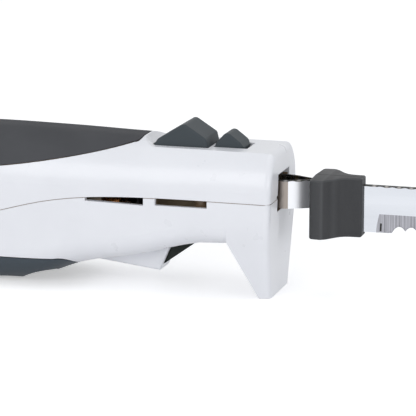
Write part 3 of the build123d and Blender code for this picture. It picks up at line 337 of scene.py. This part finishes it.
def block_shape(side):
    """The plan carried from bottom to top, drawn in by a quarter circle at both rims.

    A flat sheet at the blade's face stands behind it, point for point, and a strip joins the two
    at the top and at the bottom.
    """
    plan = block_plan()
    run = np.gradient(plan, axis=0)
    outward = np.stack([-run[:, 1], run[:, 0]], axis=1) / np.linalg.norm(run, axis=1)[:, None]
    outward[0], outward[-1] = (-1.0, 0.0), (1.0, 0.0)
    turn = np.linspace(0.0, math.pi / 2, rim_points)
    drawn_in = rim_radius * np.concatenate([1 - np.sin(turn), 1 - np.cos(turn)])
    z = np.concatenate([block_z[0] + rim_radius * (1 - np.cos(turn)),
                        block_z[1] - rim_radius * (1 - np.sin(turn))])
    rings = plan[None, :, :] - outward[None, :, :] * drawn_in[:, None, None]
    levels, count = rings.shape[:2]
    x, y = rings[:, :, 0], side * rings[:, :, 1]
    height = np.repeat(z[:, None], count, axis=1)
    outer = np.stack([x, y, height], axis=2)
    inner = np.stack([x, np.full_like(y, side * block_inner_y), height], axis=2)
    near = np.arange(levels * count).reshape(levels, count)
    far = near + levels * count
    grids = (near, far, np.stack([near[0], far[0]]), np.stack([near[-1], far[-1]]))
    return (np.concatenate([outer.reshape(-1, 3), inner.reshape(-1, 3)]),
            np.concatenate([grid_faces(grid) for grid in grids]))


def new_piece(name, points, faces, materials, body, slot, *nodes):
    """A mesh piece with its materials, that rides on a body and stands for CAD nodes."""
    mesh = bpy.data.meshes.new(name)
    mesh.from_pydata(points.tolist(), [], faces.tolist())
    for material in materials:
        mesh.materials.append(material)
    piece = bpy.data.objects.new(name, mesh)
    bpy.context.scene.collection.objects.link(piece)
    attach(piece, body)
    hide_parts(*nodes)
    return piece


def closed_up(piece):
    """Merges points that lie together, drops faces of no size and turns all faces outwards."""
    shape = bmesh.new()
    shape.from_mesh(piece.data)
    bmesh.ops.remove_doubles(shape, verts=shape.verts, dist=merge_distance)
    bmesh.ops.dissolve_degenerate(shape, edges=shape.edges, dist=no_size)
    bmesh.ops.recalc_face_normals(shape, faces=shape.faces)
    shape.to_mesh(piece.data)
    shape.free()


def smoothly_shaded(piece):
    """Lets the light run on over the edges between all faces."""
    faces = piece.data.polygons
    faces.foreach_set("use_smooth", np.ones(len(faces), bool))


def block_plastic(name, dark, highlight, gloss):
    """Dark plastic with painted highlights along the lip's edge and down the scoop."""
    def painted_highlight_over(tree, colour):
        """The painted highlight's colour, by its share at each place from the rear face to the
        front.
        """
        place = tree.nodes.new("ShaderNodeMapRange")
        place.inputs["From Min"].default_value, place.inputs["From Max"].default_value = block_x
        tree.links.new(along_axes(tree, object_place(tree))["X"], place.inputs["Value"])
        return blended(tree, ramp(tree, place.outputs["Result"], highlight_places), colour, highlight)

    light = tuple(block_cloud_lift * part for part in dark)
    return moulded_plastic(name, dark, light, gloss, grain_scale=1500.0, grain_depth=0.000006,
                           specular=0.06, cloud_scale=60.0, laid_over=painted_highlight_over)


# The second finish is a painted highlight: lighter and glossier, laid on the rim faces that slope
# between side and top.
block_finishes = [
    block_plastic("block_plastic", dark=(0.056, 0.057, 0.060), highlight=(0.092, 0.094, 0.098),
                  gloss=(0.40, 0.48)),
    block_plastic("block_rim_plastic", dark=(0.072, 0.074, 0.078), highlight=(0.095, 0.097, 0.101),
                  gloss=(0.28, 0.36))]
for side, hand in sides:
    half_block = new_piece(hand + "_finger_block_moulded", *block_shape(side), block_finishes,
                           hand + "_cutter", "block_plastic", hand + "_finger_block")
    closed_up(half_block)
    smoothly_shaded(half_block)
    # Faces on the sloping rim take the painted highlight finish.
    upward = [abs(face.normal.z) for face in half_block.data.polygons]
    on_highlight_rim = np.array([rim_slope[0] < share < rim_slope[1] for share in upward], np.int32)
    half_block.data.polygons.foreach_set("material_index", on_highlight_rim)
    half_block.data.set_sharp_from_angle(angle=sharp_angle)


# Blades: two strips of hardened stainless steel, mirror polished on their sides, with a bent tang
# that plugs into the driver. A wheel has ground the outer face hollow over the teeth, in upright
# lines, and a finer one has cut the scallops. Only the left blade has the slot for the rivet.
blade_inner_y = 0.0001
blade_thickness = 0.0010
blade_spine_z = 0.0460
blade_edge_z = 0.0270
heel_x = 0.0200
tang_y = 0.0057
tang_z = (0.0355, 0.0470)
tang_end_x = -0.0155
tang_bend_x = (0.0050, 0.0205)
tang_bend_power = 1.15
tang_middle_share = 0.632
# Painted reflection: brown on the tang inside and near the mouth, where it would mirror the dark
# interior.
tang_reflection_box = ((-0.0200, -0.0100, 0.0300), (0.0073, 0.0100, 0.0500))
painted_reflection_brown = (0.34, 0.30, 0.27)
tooth_start_x = 0.0485
tooth_pitch = 0.0055
tooth_count = 28
teeth_end_x = tooth_start_x + tooth_count * tooth_pitch
tooth_top_z = 0.0297
tooth_rise = 0.0010
tip_x = 0.2167
tip_corner_z = 0.0450
tip_corner_cut = 0.001
tip_roundness = 2.2
slot_middle_x = 0.1960
slot_z = 0.0390
slot_reach = 0.0080
slot_radius = 0.0019
past_slot = 0.0002
grinding_start_x = 0.0424
grinding_line_z = 0.0346
grinding_depth = 0.00042
wheel_entry = 0.0012
wheel_bite = 0.00004
start_lean = 0.0011
start_lean_reach = 0.0045
burn_x = (0.0434, 0.0443)
facet_height = 0.0009
facet_depth = 0.00026
facet_lead = 0.001
spine_chamfer = 0.00012
spine_band = (0.00025, 0.00065)
spine_wave_length = 0.0050
just_under = 1e-9

# A column of points: rises above the edge, the rows at the grinding line, and the upper part.
column_rises = np.array([0.0, 0.25, 0.5, 0.9, 1.3, 1.9, 2.7, 3.8, 7.55, 7.61, 9.5, 12.0]) / 1000
line_rises = np.array([-0.00005, 0.00001, 0.0020])
upper_shares = np.array([0.0, 0.5, 0.97, 1.0])
slot_row = len(column_rises) - 1
ground_rows, line_row, facet_rows, lean_rows = 8, 9, 5, 3
burn_rows = slice(2, 7)
tang_stations, plain_stations, entry_stations, tip_stations = 58, 10, 16, 26
stations_per_tooth = 14
slot_end_shares = (0.0, 0.5, 0.8, 0.95, 1.0)
past_heel = (0.00002, 0.001)
station_digits = 7
least_height = 1e-4
polished, ground, scaled_and_shaded, satin = range(4)


def edge_height(x):
    """The cutting edge: a parabola in each tooth, from point to point over the scallop's top.

    Points lie low and one step higher in turn. Past the last tooth the tip is a quarter oval.
    """
    place = np.clip((x - tooth_start_x) / tooth_pitch, 0.0, tooth_count - just_under)
    tooth = np.floor(place)
    along = place - tooth
    here = blade_edge_z + tooth_rise * (tooth % 2)
    ahead = blade_edge_z + tooth_rise * ((tooth + 1) % 2)
    chord = here + (ahead - here) * along
    rise = tooth_top_z - (here + ahead) / 2
    edge = np.where(x < tooth_start_x, blade_edge_z, chord + rise * 4 * along * (1 - along))
    round_share = np.clip((x - teeth_end_x) / (tip_x - teeth_end_x), 0.0, 1.0)
    drop = 1 - np.sqrt(1 - round_share ** tip_roundness)
    return np.where(x > teeth_end_x, blade_edge_z + (tip_corner_z - blade_edge_z) * drop, edge)


def blade_stations():
    """Places along the blade where a column of points stands, close where the outline turns."""
    tip_turn = np.sin(np.linspace(0.0, math.pi / 2, tip_stations))
    slot_ends = [slot_middle_x + end * (slot_reach + slot_radius * share)
                 for end in (-1, 1) for share in slot_end_shares]
    runs = [np.linspace(tang_end_x, heel_x, tang_stations), [heel_x + past_heel[0]],
            np.linspace(heel_x + past_heel[1], grinding_start_x, plain_stations),
            np.linspace(grinding_start_x, tooth_start_x, entry_stations),
            np.linspace(tooth_start_x, teeth_end_x, tooth_count * stations_per_tooth + 1),
            teeth_end_x + (tip_x - teeth_end_x) * tip_turn, slot_ends]
    return np.unique(np.round(np.concatenate(runs), station_digits))


def blade_heights(x, in_tang, slotted):
    """The height of every point of every column, the edge's height, and half the slot's opening.

    A column's lower part runs from the edge to the slot's line, with two rows close together at
    the grinding line, and its upper part from there to the spine. The slot parts the two by half
    its width, which falls as a circle over its ends. The last row but one weaves under the spine
    as a sine: the scale and the spine's painted shade end there.
    """
    low = np.where(in_tang, tang_z[0], edge_height(x))
    spine = blade_spine_z - np.clip(x - tip_x + tip_corner_cut, 0.0, None)
    high = np.where(in_tang, tang_z[1], spine)
    middle = low + (high - low) * tang_middle_share
    straight = ~in_tang & (x < slot_middle_x + slot_reach + slot_radius + past_slot)
    middle[straight] = slot_z
    from_end = np.clip(np.abs(x - slot_middle_x) - slot_reach, 0.0, slot_radius)
    opening = np.sqrt(slot_radius ** 2 - from_end ** 2) * slotted

    lower = low[:, None] + (middle - opening - low)[:, None] * (column_rises / column_rises[-1])
    toothed = straight & (x >= grinding_start_x)
    lower[toothed, :ground_rows] = low[toothed, None] + column_rises[:ground_rows]
    lower[toothed, ground_rows:slot_row] = grinding_line_z + line_rises
    upper = (middle + opening)[:, None] + (high - middle - opening)[:, None] * upper_shares
    wave = 0.5 + 0.5 * np.sin(2 * math.pi * x / spine_wave_length)
    upper[:, -2] = high - spine_band[0] - (spine_band[1] - spine_band[0]) * wave
    return np.concatenate([lower, upper], axis=1), low, opening


def blade_points(side, x, in_tang, z, low):
    """Both faces of a blade, as points of the columns at x and z.

    The inner face bends out to the tang as a smooth step. The outer one is the inner one moved
    out by the thickness, less what the wheels have taken off: a depth that grows evenly from the
    grinding line to the edge, a steep facet at the edge, and a chamfer at the spine. Where the
    wheel starts, its mark leans forward by the square of the share of its height.
    """
    bend = np.clip((x - tang_bend_x[0]) / (tang_bend_x[1] - tang_bend_x[0]), 0.0, 1.0)
    turn = (1 - bend ** 2 * (3 - 2 * bend)) ** tang_bend_power
    inner_y = blade_inner_y + (tang_y - blade_thickness / 2 - blade_inner_y) * turn

    row = np.arange(z.shape[1])[None, :]
    off_tang = ~in_tang[:, None]
    ground_height = np.clip((z[:, line_row] - low)[:, None], least_height, None)
    risen = (z - low[:, None]) / ground_height
    entry = np.clip((x - grinding_start_x) / wheel_entry, 0.0, 1.0)
    entered = (1 - (1 - entry) ** 2)[:, None]
    taken = np.clip(1 - risen, 0.0, 1.0) * grinding_depth
    taken = np.where((row < line_row) & off_tang, (taken + wheel_bite) * entered, 0.0)
    facet = np.clip(1 - (z - low[:, None]) / facet_height, 0.0, 1.0) * facet_depth
    taken += np.where((row < facet_rows) & (x >= tooth_start_x - facet_lead)[:, None], facet, 0.0)
    taken[:, -1] += spine_chamfer

    across = np.repeat(x[:, None], z.shape[1], axis=1)
    fade = 1 - np.clip((row - line_row) / lean_rows, 0.0, 1.0)
    near_start = np.clip(1 - np.abs(across - grinding_start_x) / start_lean_reach, 0.0, 1.0)
    leaning = start_lean * (np.clip(risen, 0.0, 1.0) * fade) ** 2 * near_start * off_tang
    inner_y = np.repeat(inner_y[:, None], z.shape[1], axis=1)
    inner = np.stack([across, side * inner_y, z], axis=2)
    outer = np.stack([across + leaning, side * (inner_y + blade_thickness - taken), z], axis=2)
    return np.concatenate([inner.reshape(-1, 3), outer.reshape(-1, 3)])


def blade_shape(side, slotted):
    """One blade: its points, its faces, and the number of the finish on each face.

    Both faces are grids of columns, parted along the slot's line, and strips across the thickness
    close them at the edge, the spine, the slot and both ends.
    """
    x = blade_stations()
    in_tang = x <= heel_x
    z, low, opening = blade_heights(x, in_tang, slotted)
    near = np.arange(z.size).reshape(z.shape)
    far = near + z.size
    outer_kinds = np.full((z.shape[0] - 1, z.shape[1] - 1), polished)
    outer_kinds[x[:-1] >= grinding_start_x, :ground_rows] = ground
    outer_kinds[(x[:-1] > burn_x[0]) & (x[:-1] < burn_x[1]), burn_rows] = scaled_and_shaded
    outer_kinds[in_tang[:-1]] = satin
    # The spine's row takes the scale finish, which paints shade along the spine.
    outer_kinds[:, -1] = scaled_and_shaded
    faces, kinds = [], []
    for first, last in ((0, slot_row), (slot_row + 1, z.shape[1] - 1)):
        faces.append(grid_faces(near[:, first:last + 1], side < 0))
        kinds.append(np.full(len(faces[-1]), polished))
        faces.append(grid_faces(far[:, first:last + 1], side > 0))
        kinds.append(outer_kinds[:, first:last].ravel())

    def closing_strip(line, flip, kind, kept=slice(None)):
        """Faces across the blade's thickness along one line of the grid."""
        strip = grid_faces(np.stack([near[line], far[line]], axis=1), flip)[kept]
        faces.append(strip)
        kinds.append(np.full(len(strip), kind))

    every, slot_open = slice(None), (opening[:-1] > 0) | (opening[1:] > 0)
    closing_strip((every, 0), side < 0, ground)
    closing_strip((every, -1), side > 0, scaled_and_shaded)
    closing_strip((every, slot_row), side > 0, polished, slot_open)
    closing_strip((every, slot_row + 1), side < 0, polished, slot_open)
    closing_strip(0, side > 0, polished)
    closing_strip(-1, side < 0, polished)
    points = blade_points(side, x, in_tang, z, low)
    return points, np.concatenate(faces), np.concatenate(kinds)


def tooled_metal(name, dark, light, gloss, mark_scale=1400.0, mark_detail=3.0,
                 stretch=(3.0, 1.0, 1.0), ends=tone_ends, strength=0.3, depth=0.00002,
                 metallic=1.0, laid_over=None):
    """Metal with the marks of its tool: one stretched noise gives the colour, gloss and bump.

    Without a depth there is no bump. A painted reflection is laid over the colour by a function of
    the tree and that colour.
    """
    material, tree, shader = bare_material(name)
    shader.inputs["Metallic"].default_value = metallic
    marks = noise(tree, mark_scale, mark_detail, stretch)
    colour = two_tone(tree, marks, dark, light, ends)
    if laid_over:
        colour = laid_over(tree, colour)
    tree.links.new(colour, shader.inputs["Base Color"])
    uneven_gloss(tree, shader, marks, gloss)
    if depth:
        roughen(tree, shader, marks, strength, depth)
    return material


def scale_and_painted_shade(dark, light, ends, gloss, mark_scale, metallic):
    """The back of the strip and the burn mark: painted shade with dark scale, lighter wherever a
    sine along it peaks.
    """
    material, tree, shader = bare_material("scale_and_painted_shade")
    shader.inputs["Metallic"].default_value = metallic
    along = along_axes(tree, object_place(tree))["X"]
    turns = worked_out(tree, "MULTIPLY", along, 2 * math.pi / spine_wave_length)
    wave = worked_out(tree, "SINE", turns)
    tree.links.new(two_tone(tree, wave, dark, light, ends), shader.inputs["Base Color"])
    uneven_gloss(tree, shader, noise(tree, mark_scale), gloss)
    return material


def painted_tang_reflection(tree, colour):
    """Painted reflection: brown where the tang runs into the mouth and would mirror its dark
    inside.
    """
    return blended(tree, inside_box(tree, *tang_reflection_box), colour, painted_reflection_brown)


# The third finish paints the spine's shade, broken by lighter patches where a sine peaks, and gives
# the burn mark its scale; the fourth carries the tang's painted reflection.
blade_finishes = [
    tooled_metal("polished_steel", dark=(0.62, 0.64, 0.68), light=(0.68, 0.70, 0.74),
                 gloss=(0.07, 0.13), mark_scale=220.0, mark_detail=4.0, stretch=(0.05, 1.0, 1.0),
                 depth=0.0),
    tooled_metal("ground_steel", dark=(0.24, 0.24, 0.26), light=(0.45, 0.45, 0.49),
                 gloss=(0.30, 0.45), mark_scale=1500.0, mark_detail=2.0,
                 stretch=(1.0, 0.02, 0.02), ends=(0.35, 0.65), strength=0.5, depth=0.00003),
    scale_and_painted_shade(dark=(0.03, 0.03, 0.03), light=(0.26, 0.25, 0.24), ends=(0.35, 0.95),
                gloss=(0.35, 0.55), mark_scale=900.0, metallic=0.6),
    tooled_metal("tang_steel", dark=(0.80, 0.81, 0.84), light=(0.88, 0.89, 0.92),
                 gloss=(0.26, 0.34), mark_scale=300.0, mark_detail=4.0, stretch=(1.0, 1.0, 0.05),
                 depth=0.0, laid_over=painted_tang_reflection)]
for side, hand in sides:
    points, faces, kinds = blade_shape(side, slotted=hand == "left")
    blade = new_piece(hand + "_blade_ground", points, faces, blade_finishes, hand + "_cutter",
                      "blade_steel", hand + "_blade")
    blade.data.polygons.foreach_set("material_index", kinds.astype(np.int32))
    closed_up(blade)


# Small steel parts: screws, pins, shafts, the worm, the tip rivet, the blade catches and the brush
# springs. They are turned or bent from bright steel, with faint tool marks, and pressed or
# screwed in.
turned_steel = tooled_metal("turned_steel", dark=(0.48, 0.48, 0.50), light=(0.62, 0.62, 0.64),
                            gloss=(0.25, 0.4))
dress(turned_steel, "case_screws", "trigger_pin", "gear_axle", "worm", "left_catch",
      "right_catch", "tip_rivet", "left_brush_spring", "right_brush_spring", "motor_shaft",
      "clamp_screws")


# Bearings and brush tubes: bushes of sintered bronze, soaked with oil, and tubes of drawn brass of
# the same dull yellow. They are pressed into the gear frame and the motor's bracket.
sintered_bronze = tooled_metal("sintered_bronze", dark=(0.42, 0.27, 0.12),
                               light=(0.55, 0.38, 0.18), gloss=(0.4, 0.6))
dress(sintered_bronze, "front_bearing", "rear_bearing", "left_brush_tube", "right_brush_tube")


# Compression springs: spring wire wound cold into a coil with closed ends. They push the trigger
# and the two wedges back, and each is squeezed against its seat as its lever or wedge travels.
button_spring_wire = 0.000225
trigger_spring_wire = 0.00045
lock_spring_turns, release_spring_turns, trigger_spring_turns = 3.0, 6.0, 3.5
closed_turns = 1.0
closed_pitch = 2.1
stations_per_turn = 28
wire_sides = 8
low_end, high_end = 0, 1
along_x, along_z = 0, 2


def spring_coil(length, radius, wire, turns):
    """A wire tube along a helix from 0 to length: turns are even, but closed up at both ends.

    Points are the helix's middle line plus a circle that lies across it, outwards and lengthwise,
    and the circle shrinks to a point at either end.
    """
    whole = turns + 2 * closed_turns
    share = np.concatenate([[0.0], np.linspace(0.0, 1.0, int(whole * stations_per_turn)), [1.0]])
    angle = 2 * math.pi * whole * share
    inner_length = length - 2 * wire
    closed_rise = closed_pitch * wire
    rise = np.interp(share * whole, [0.0, closed_turns, whole - closed_turns, whole],
                     [0.0, closed_rise, inner_length - closed_rise, inner_length])
    across = np.linspace(0.0, 2 * math.pi, wire_sides, endpoint=False)
    thickness = np.full(len(share), wire)
    thickness[[0, -1]] = 0.0
    out = radius + thickness[:, None] * np.cos(across)[None, :]
    up = wire + rise[:, None] + thickness[:, None] * np.sin(across)[None, :]
    points = np.stack([out * np.cos(angle)[:, None], out * np.sin(angle)[:, None], up], axis=2)
    grid = np.arange(out.size).reshape(out.shape)
    return points.reshape(-1, 3), grid_faces(np.pad(grid, ((0, 0), (0, 1)), mode="wrap"))


def fit_spring(name, node, boxes, lengthwise, wire, turns, seat):
    """Coils that fill boxes of one node, each wound along an axis from its box's low side."""
    points, faces = [], []
    for low, high in boxes:
        length = high[lengthwise] - low[lengthwise]
        across = (lengthwise + 1) % 3
        radius = (high[across] - low[across]) / 2 - wire
        coil, coil_faces = spring_coil(length, radius, wire, turns)
        place = (np.array(low) + np.array(high)) / 2
        place[lengthwise] = low[lengthwise]
        faces.append(coil_faces + sum(len(part) for part in points))
        points.append(np.roll(coil, lengthwise + 1, axis=1) + place)
    spring = new_piece(name, np.concatenate(points), np.concatenate(faces), [spring_wire],
                       "housing", "steel", node)
    closed_up(spring)
    smoothly_shaded(spring)
    anchor = [(low[k] + high[k]) / 2 for k in range(3)]
    anchor[lengthwise] = boxes[0][seat][lengthwise]
    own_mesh(spring)


spring_wire = tooled_metal("spring_wire", dark=(0.42, 0.42, 0.44), light=(0.58, 0.58, 0.60),
                           gloss=(0.2, 0.35))
lock_low, lock_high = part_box("lock_springs")
lock_width = lock_high[0] - lock_low[0]
lock_boxes = [(lock_low, (lock_high[0], lock_low[1] + lock_width, lock_high[2])),
              ((lock_low[0], lock_high[1] - lock_width, lock_low[2]), lock_high)]
fit_spring("lock_spring_coils", "lock_springs", lock_boxes, along_z, button_spring_wire,
           lock_spring_turns, low_end)
fit_spring("release_spring_coil", "release_spring", [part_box("release_spring")], along_x,
           button_spring_wire, release_spring_turns, high_end)
fit_spring("trigger_spring_coil", "trigger_spring", [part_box("trigger_spring")], along_z,
           trigger_spring_wire, trigger_spring_turns, high_end)


# Drive and motor carriers: the gear frame, both drivers, the motor's bracket and the clamp bar are
# moulded of filled resin the colour of cardboard, which brush dust has darkened in clouds. The
# drivers slide on the frame's rails; ribs and screws of the lower shell hold the rest.
frame_resin = moulded_plastic("frame_resin", dark=(0.26, 0.18, 0.11), light=(0.36, 0.27, 0.17),
                              gloss=(0.45, 0.6), grain_scale=1200.0, grain_depth=0.00005)
dress(frame_resin, "gear_frame", "left_driver", "right_driver", "motor_bracket", "clamp_bar")


# Gear: a wheel of nylon, browned by grease, moulded in one with the two throw discs that push the
# drivers. It turns on the axle through the gear frame's cheeks.
gear_nylon = moulded_plastic("gear_nylon", dark=(0.30, 0.22, 0.14), light=(0.38, 0.29, 0.19),
                             gloss=(0.35, 0.45), grain_scale=1200.0, grain_depth=0.00003)
dress(gear_nylon, "eccentric_gear")


# Motor cores: thin sheet iron, punched, stacked and varnished brown. The outer stack stands still
# in the lower shell, and the slotted inner one is pressed on the shaft.
sheet_iron = tooled_metal("sheet_iron", dark=(0.24, 0.19, 0.14), light=(0.36, 0.29, 0.22),
                          gloss=(0.4, 0.6), metallic=0.5)
dress(sheet_iron, "stator_core", "armature_core")


# Armature windings, commutator and switch terminals: enamelled copper wire laid in the core's
# slots, copper bars pressed on the shaft, and tabs of the same red metal on top of the switch.
enamelled_copper = tooled_metal("enamelled_copper", dark=(0.42, 0.16, 0.05),
                                light=(0.62, 0.28, 0.10), gloss=(0.2, 0.35))
dress(enamelled_copper, "armature_windings", "commutator", "switch_terminals")


# Field coils: enamelled copper wire wound in layers round the neck of each pole, baked together
# and pressed to the curve of the iron. The nested turns bulge past both ends of the stack.
coil_middle_x = -0.0810
coil_axis_z = 0.03045
coil_layers = (0.01272, 0.01340, 0.01408)
coil_turns = 9
coil_half_length = (0.0139, 0.0195)
coil_half_angle = (math.radians(23.0), math.radians(57.0))
coil_wire_radius = 0.00036
coil_squareness = 0.35
coil_stations = 80
coil_wire_sides = 6


def squared_off(wave):
    """A sine or cosine pushed out towards 1 and -1, by a power of its size."""
    return np.sign(wave) * np.abs(wave) ** coil_squareness


def coil_turn(radius, share, side):
    """One turn of wire on a cylinder round the motor: a squared-off oval, length by angle.

    The share places the turn between the innermost and the outermost oval. The wire is six-sided:
    a circle across the oval's run, one way along the cylinder and the other out from its axis.
    """
    along = np.linspace(0.0, 2 * math.pi, coil_stations, endpoint=False)
    around = np.linspace(0.0, 2 * math.pi, coil_wire_sides, endpoint=False)
    length = coil_half_length[0] + (coil_half_length[1] - coil_half_length[0]) * share
    angle = coil_half_angle[0] + (coil_half_angle[1] - coil_half_angle[0]) * share
    path = np.stack([length * squared_off(np.cos(along)),
                     radius * (angle * squared_off(np.sin(along)))], axis=1)
    tangent = np.roll(path, -1, axis=0) - np.roll(path, 1, axis=0)
    tangent /= np.linalg.norm(tangent, axis=1)[:, None]
    sideways = np.stack([-tangent[:, 1], tangent[:, 0]], axis=1)
    offset = coil_wire_radius * np.cos(around)
    flat = path[:, None, :] + sideways[:, None, :] * offset[None, :, None]
    reach = radius + coil_wire_radius * np.sin(around)[None, :]
    turned = flat[:, :, 1] / radius
    return np.stack([coil_middle_x + flat[:, :, 0], side * reach * np.cos(turned),
                     coil_axis_z + reach * np.sin(turned)], axis=2).reshape(-1, 3)


def coil_shape(side):
    """All turns of one coil: nested from the pole's neck outwards, in layers one over another."""
    turns = [coil_turn(radius, share, side) for radius in coil_layers
             for share in np.linspace(0.0, 1.0, coil_turns)]
    grid = np.arange(coil_stations * coil_wire_sides).reshape(coil_stations, coil_wire_sides)
    turn_faces = grid_faces(np.pad(grid, ((0, 1), (0, 1)), mode="wrap"))
    return (np.concatenate(turns),
            np.concatenate([turn_faces + grid.size * number for number in range(len(turns))]))


for side, hand in sides:
    coil = new_piece(hand + "_field_coil_wound", *coil_shape(side), [enamelled_copper],
                     "housing", "copper", hand + "_field_coil")
    closed_up(coil)
    smoothly_shaded(coil)


# Brushes: sticks of pressed carbon, dull and nearly black. Each slides in its brass tube and is
# pushed on to the commutator by the spring behind it.
pressed_carbon = moulded_plastic("pressed_carbon", dark=(0.012, 0.012, 0.013),
                                 light=(0.025, 0.025, 0.027), gloss=(0.5, 0.7),
                                 grain_scale=1800.0, grain_depth=0.00004)
dress(pressed_carbon, "left_brush", "right_brush")


# Fan, switch and cord bush: plain black plastic from the mould. The fan is pressed on the shaft,
# the switch sits beside the gear frame, and the bush is gripped between the shells.
inner_black = moulded_plastic("inner_black", dark=(0.010, 0.010, 0.011),
                              light=(0.018, 0.018, 0.019), gloss=(0.35, 0.5),
                              grain_scale=1200.0, grain_depth=0.00003)
dress(inner_black, "cooling_fan", "switch_body", "switch_plunger", "cord_inlet")


# Capacitor: wound film in a box dipped in amber lacquer, which quiets the motor. It lies in the
# handle behind the motor.
capacitor_lacquer = moulded_plastic("capacitor_film", dark=(0.55, 0.30, 0.04),
                                    light=(0.62, 0.36, 0.06), gloss=(0.2, 0.3),
                                    grain_scale=900.0, grain_depth=0.00002)
dress(capacitor_lacquer, "capacitor")


# Table: a plain white sheet under the knife, which keeps its soft shadow. A share of plain white
# is added to it wherever the camera sees it, so that it shows as a bare white ground.
floor_colour = (0.86, 0.86, 0.87, 1.0)
floor_roughness = 0.9
floor_glow = 0.42
floor_half = 4.0
plain_white = (1.0, 1.0, 1.0, 1.0)


def seen_by_camera(tree):
    """1 for what the camera sees, straight, reflected or through glass, and 0 for other light."""
    path = tree.nodes.new("ShaderNodeLightPath")
    seen = worked_out(tree, "MAXIMUM", path.outputs["Is Camera Ray"], path.outputs["Is Glossy Ray"])
    return worked_out(tree, "MAXIMUM", seen, path.outputs["Is Transmission Ray"])


def white_floor():
    """The light that falls on the sheet, plus a share of plain white wherever it is seen."""
    material, tree, shader = bare_material("white_floor")
    shader.inputs["Base Color"].default_value = floor_colour
    shader.inputs["Roughness"].default_value = floor_roughness
    shader.inputs["Emission Color"].default_value = plain_white
    glow = worked_out(tree, "MULTIPLY", seen_by_camera(tree), floor_glow)
    tree.links.new(glow, shader.inputs["Emission Strength"])
    return material


floor_mesh = bpy.data.meshes.new("floor")
floor_mesh.from_pydata([(-floor_half, -floor_half, 0.0), (floor_half, -floor_half, 0.0),
                        (floor_half, floor_half, 0.0), (-floor_half, floor_half, 0.0)],
                       [], [(0, 1, 2, 3)])
floor_mesh.materials.append(white_floor())
floor = bpy.data.objects.new("floor", floor_mesh)
bpy.context.scene.collection.objects.link(floor)


# Light: an even surround, a shade cooler than white, and three square soft lamps. One stands
# beside the knife, one hangs above it, and a low one looks at it past the blades.
surround_level = 0.60
surround_colour = (0.96, 0.98, 1.0, 1.0)


def white_world():
    """A surround that lights at one level and shows plain white wherever it is seen."""
    world = bpy.data.worlds.new("white_surround")
    world.use_nodes = True
    tree = world.node_tree
    light = tree.nodes["Background"]
    light.inputs["Color"].default_value = surround_colour
    light.inputs["Strength"].default_value = surround_level
    seen = tree.nodes.new("ShaderNodeBackground")
    seen.inputs["Color"].default_value = plain_white
    mix = tree.nodes.new("ShaderNodeMixShader")
    tree.links.new(seen_by_camera(tree), mix.inputs["Fac"])
    tree.links.new(light.outputs["Background"], mix.inputs[1])
    tree.links.new(seen.outputs["Background"], mix.inputs[2])
    tree.links.new(mix.outputs["Shader"], tree.nodes["World Output"].inputs["Surface"])
    return world


def soft_lamp(name, place, target, size, power):
    """A square area lamp at a place, turned towards a target, its power in watts."""
    lamp = bpy.data.lights.new(name, "AREA")
    lamp.size = size
    lamp.energy = power
    holder = bpy.data.objects.new(name, lamp)
    holder.location = place
    aim = np.array(target) - np.array(place)
    holder.rotation_euler = (math.atan2(math.hypot(aim[0], aim[1]), -aim[2]), 0.0,
                             math.atan2(aim[1], aim[0]) - math.pi / 2)
    bpy.context.scene.collection.objects.link(holder)


bpy.context.scene.world = white_world()
soft_lamp("side_lamp", place=(-0.3, -1.2, 0.6), target=(0.0, 0.0, 0.03), size=0.8, power=5.2)
soft_lamp("top_lamp", place=(0.1, 0.1, 1.3), target=(0.0, 0.0, 0.03), size=0.9, power=1.6)
soft_lamp("front_lamp", place=(1.2, -0.6, 0.25), target=(0.0, 0.0, 0.02), size=0.4, power=3.0)


# Camera: about one metre from the guard, turned a little round from the knife's right side to its
# front, and a little above it. The lens takes in the guard, the handle's front half and the
# blades' first teeth.
camera_place = (0.25119, -0.94738, 0.25666)
camera_turn = math.radians(16.4)
camera_rise = math.radians(12.8)
sensor_width, lens_length = 36.0, 216.35
view_depth = 20.0

camera = bpy.data.objects.new("camera", bpy.data.cameras.new("camera"))
camera.location = camera_place
camera.rotation_euler = (math.pi / 2 - camera_rise, 0.0, camera_turn)
camera.data.sensor_width = sensor_width
camera.data.lens = lens_length
camera.data.clip_end = view_depth
bpy.context.scene.collection.objects.link(camera)
bpy.context.scene.camera = camera

bpy.context.scene.view_settings.view_transform = "Standard"
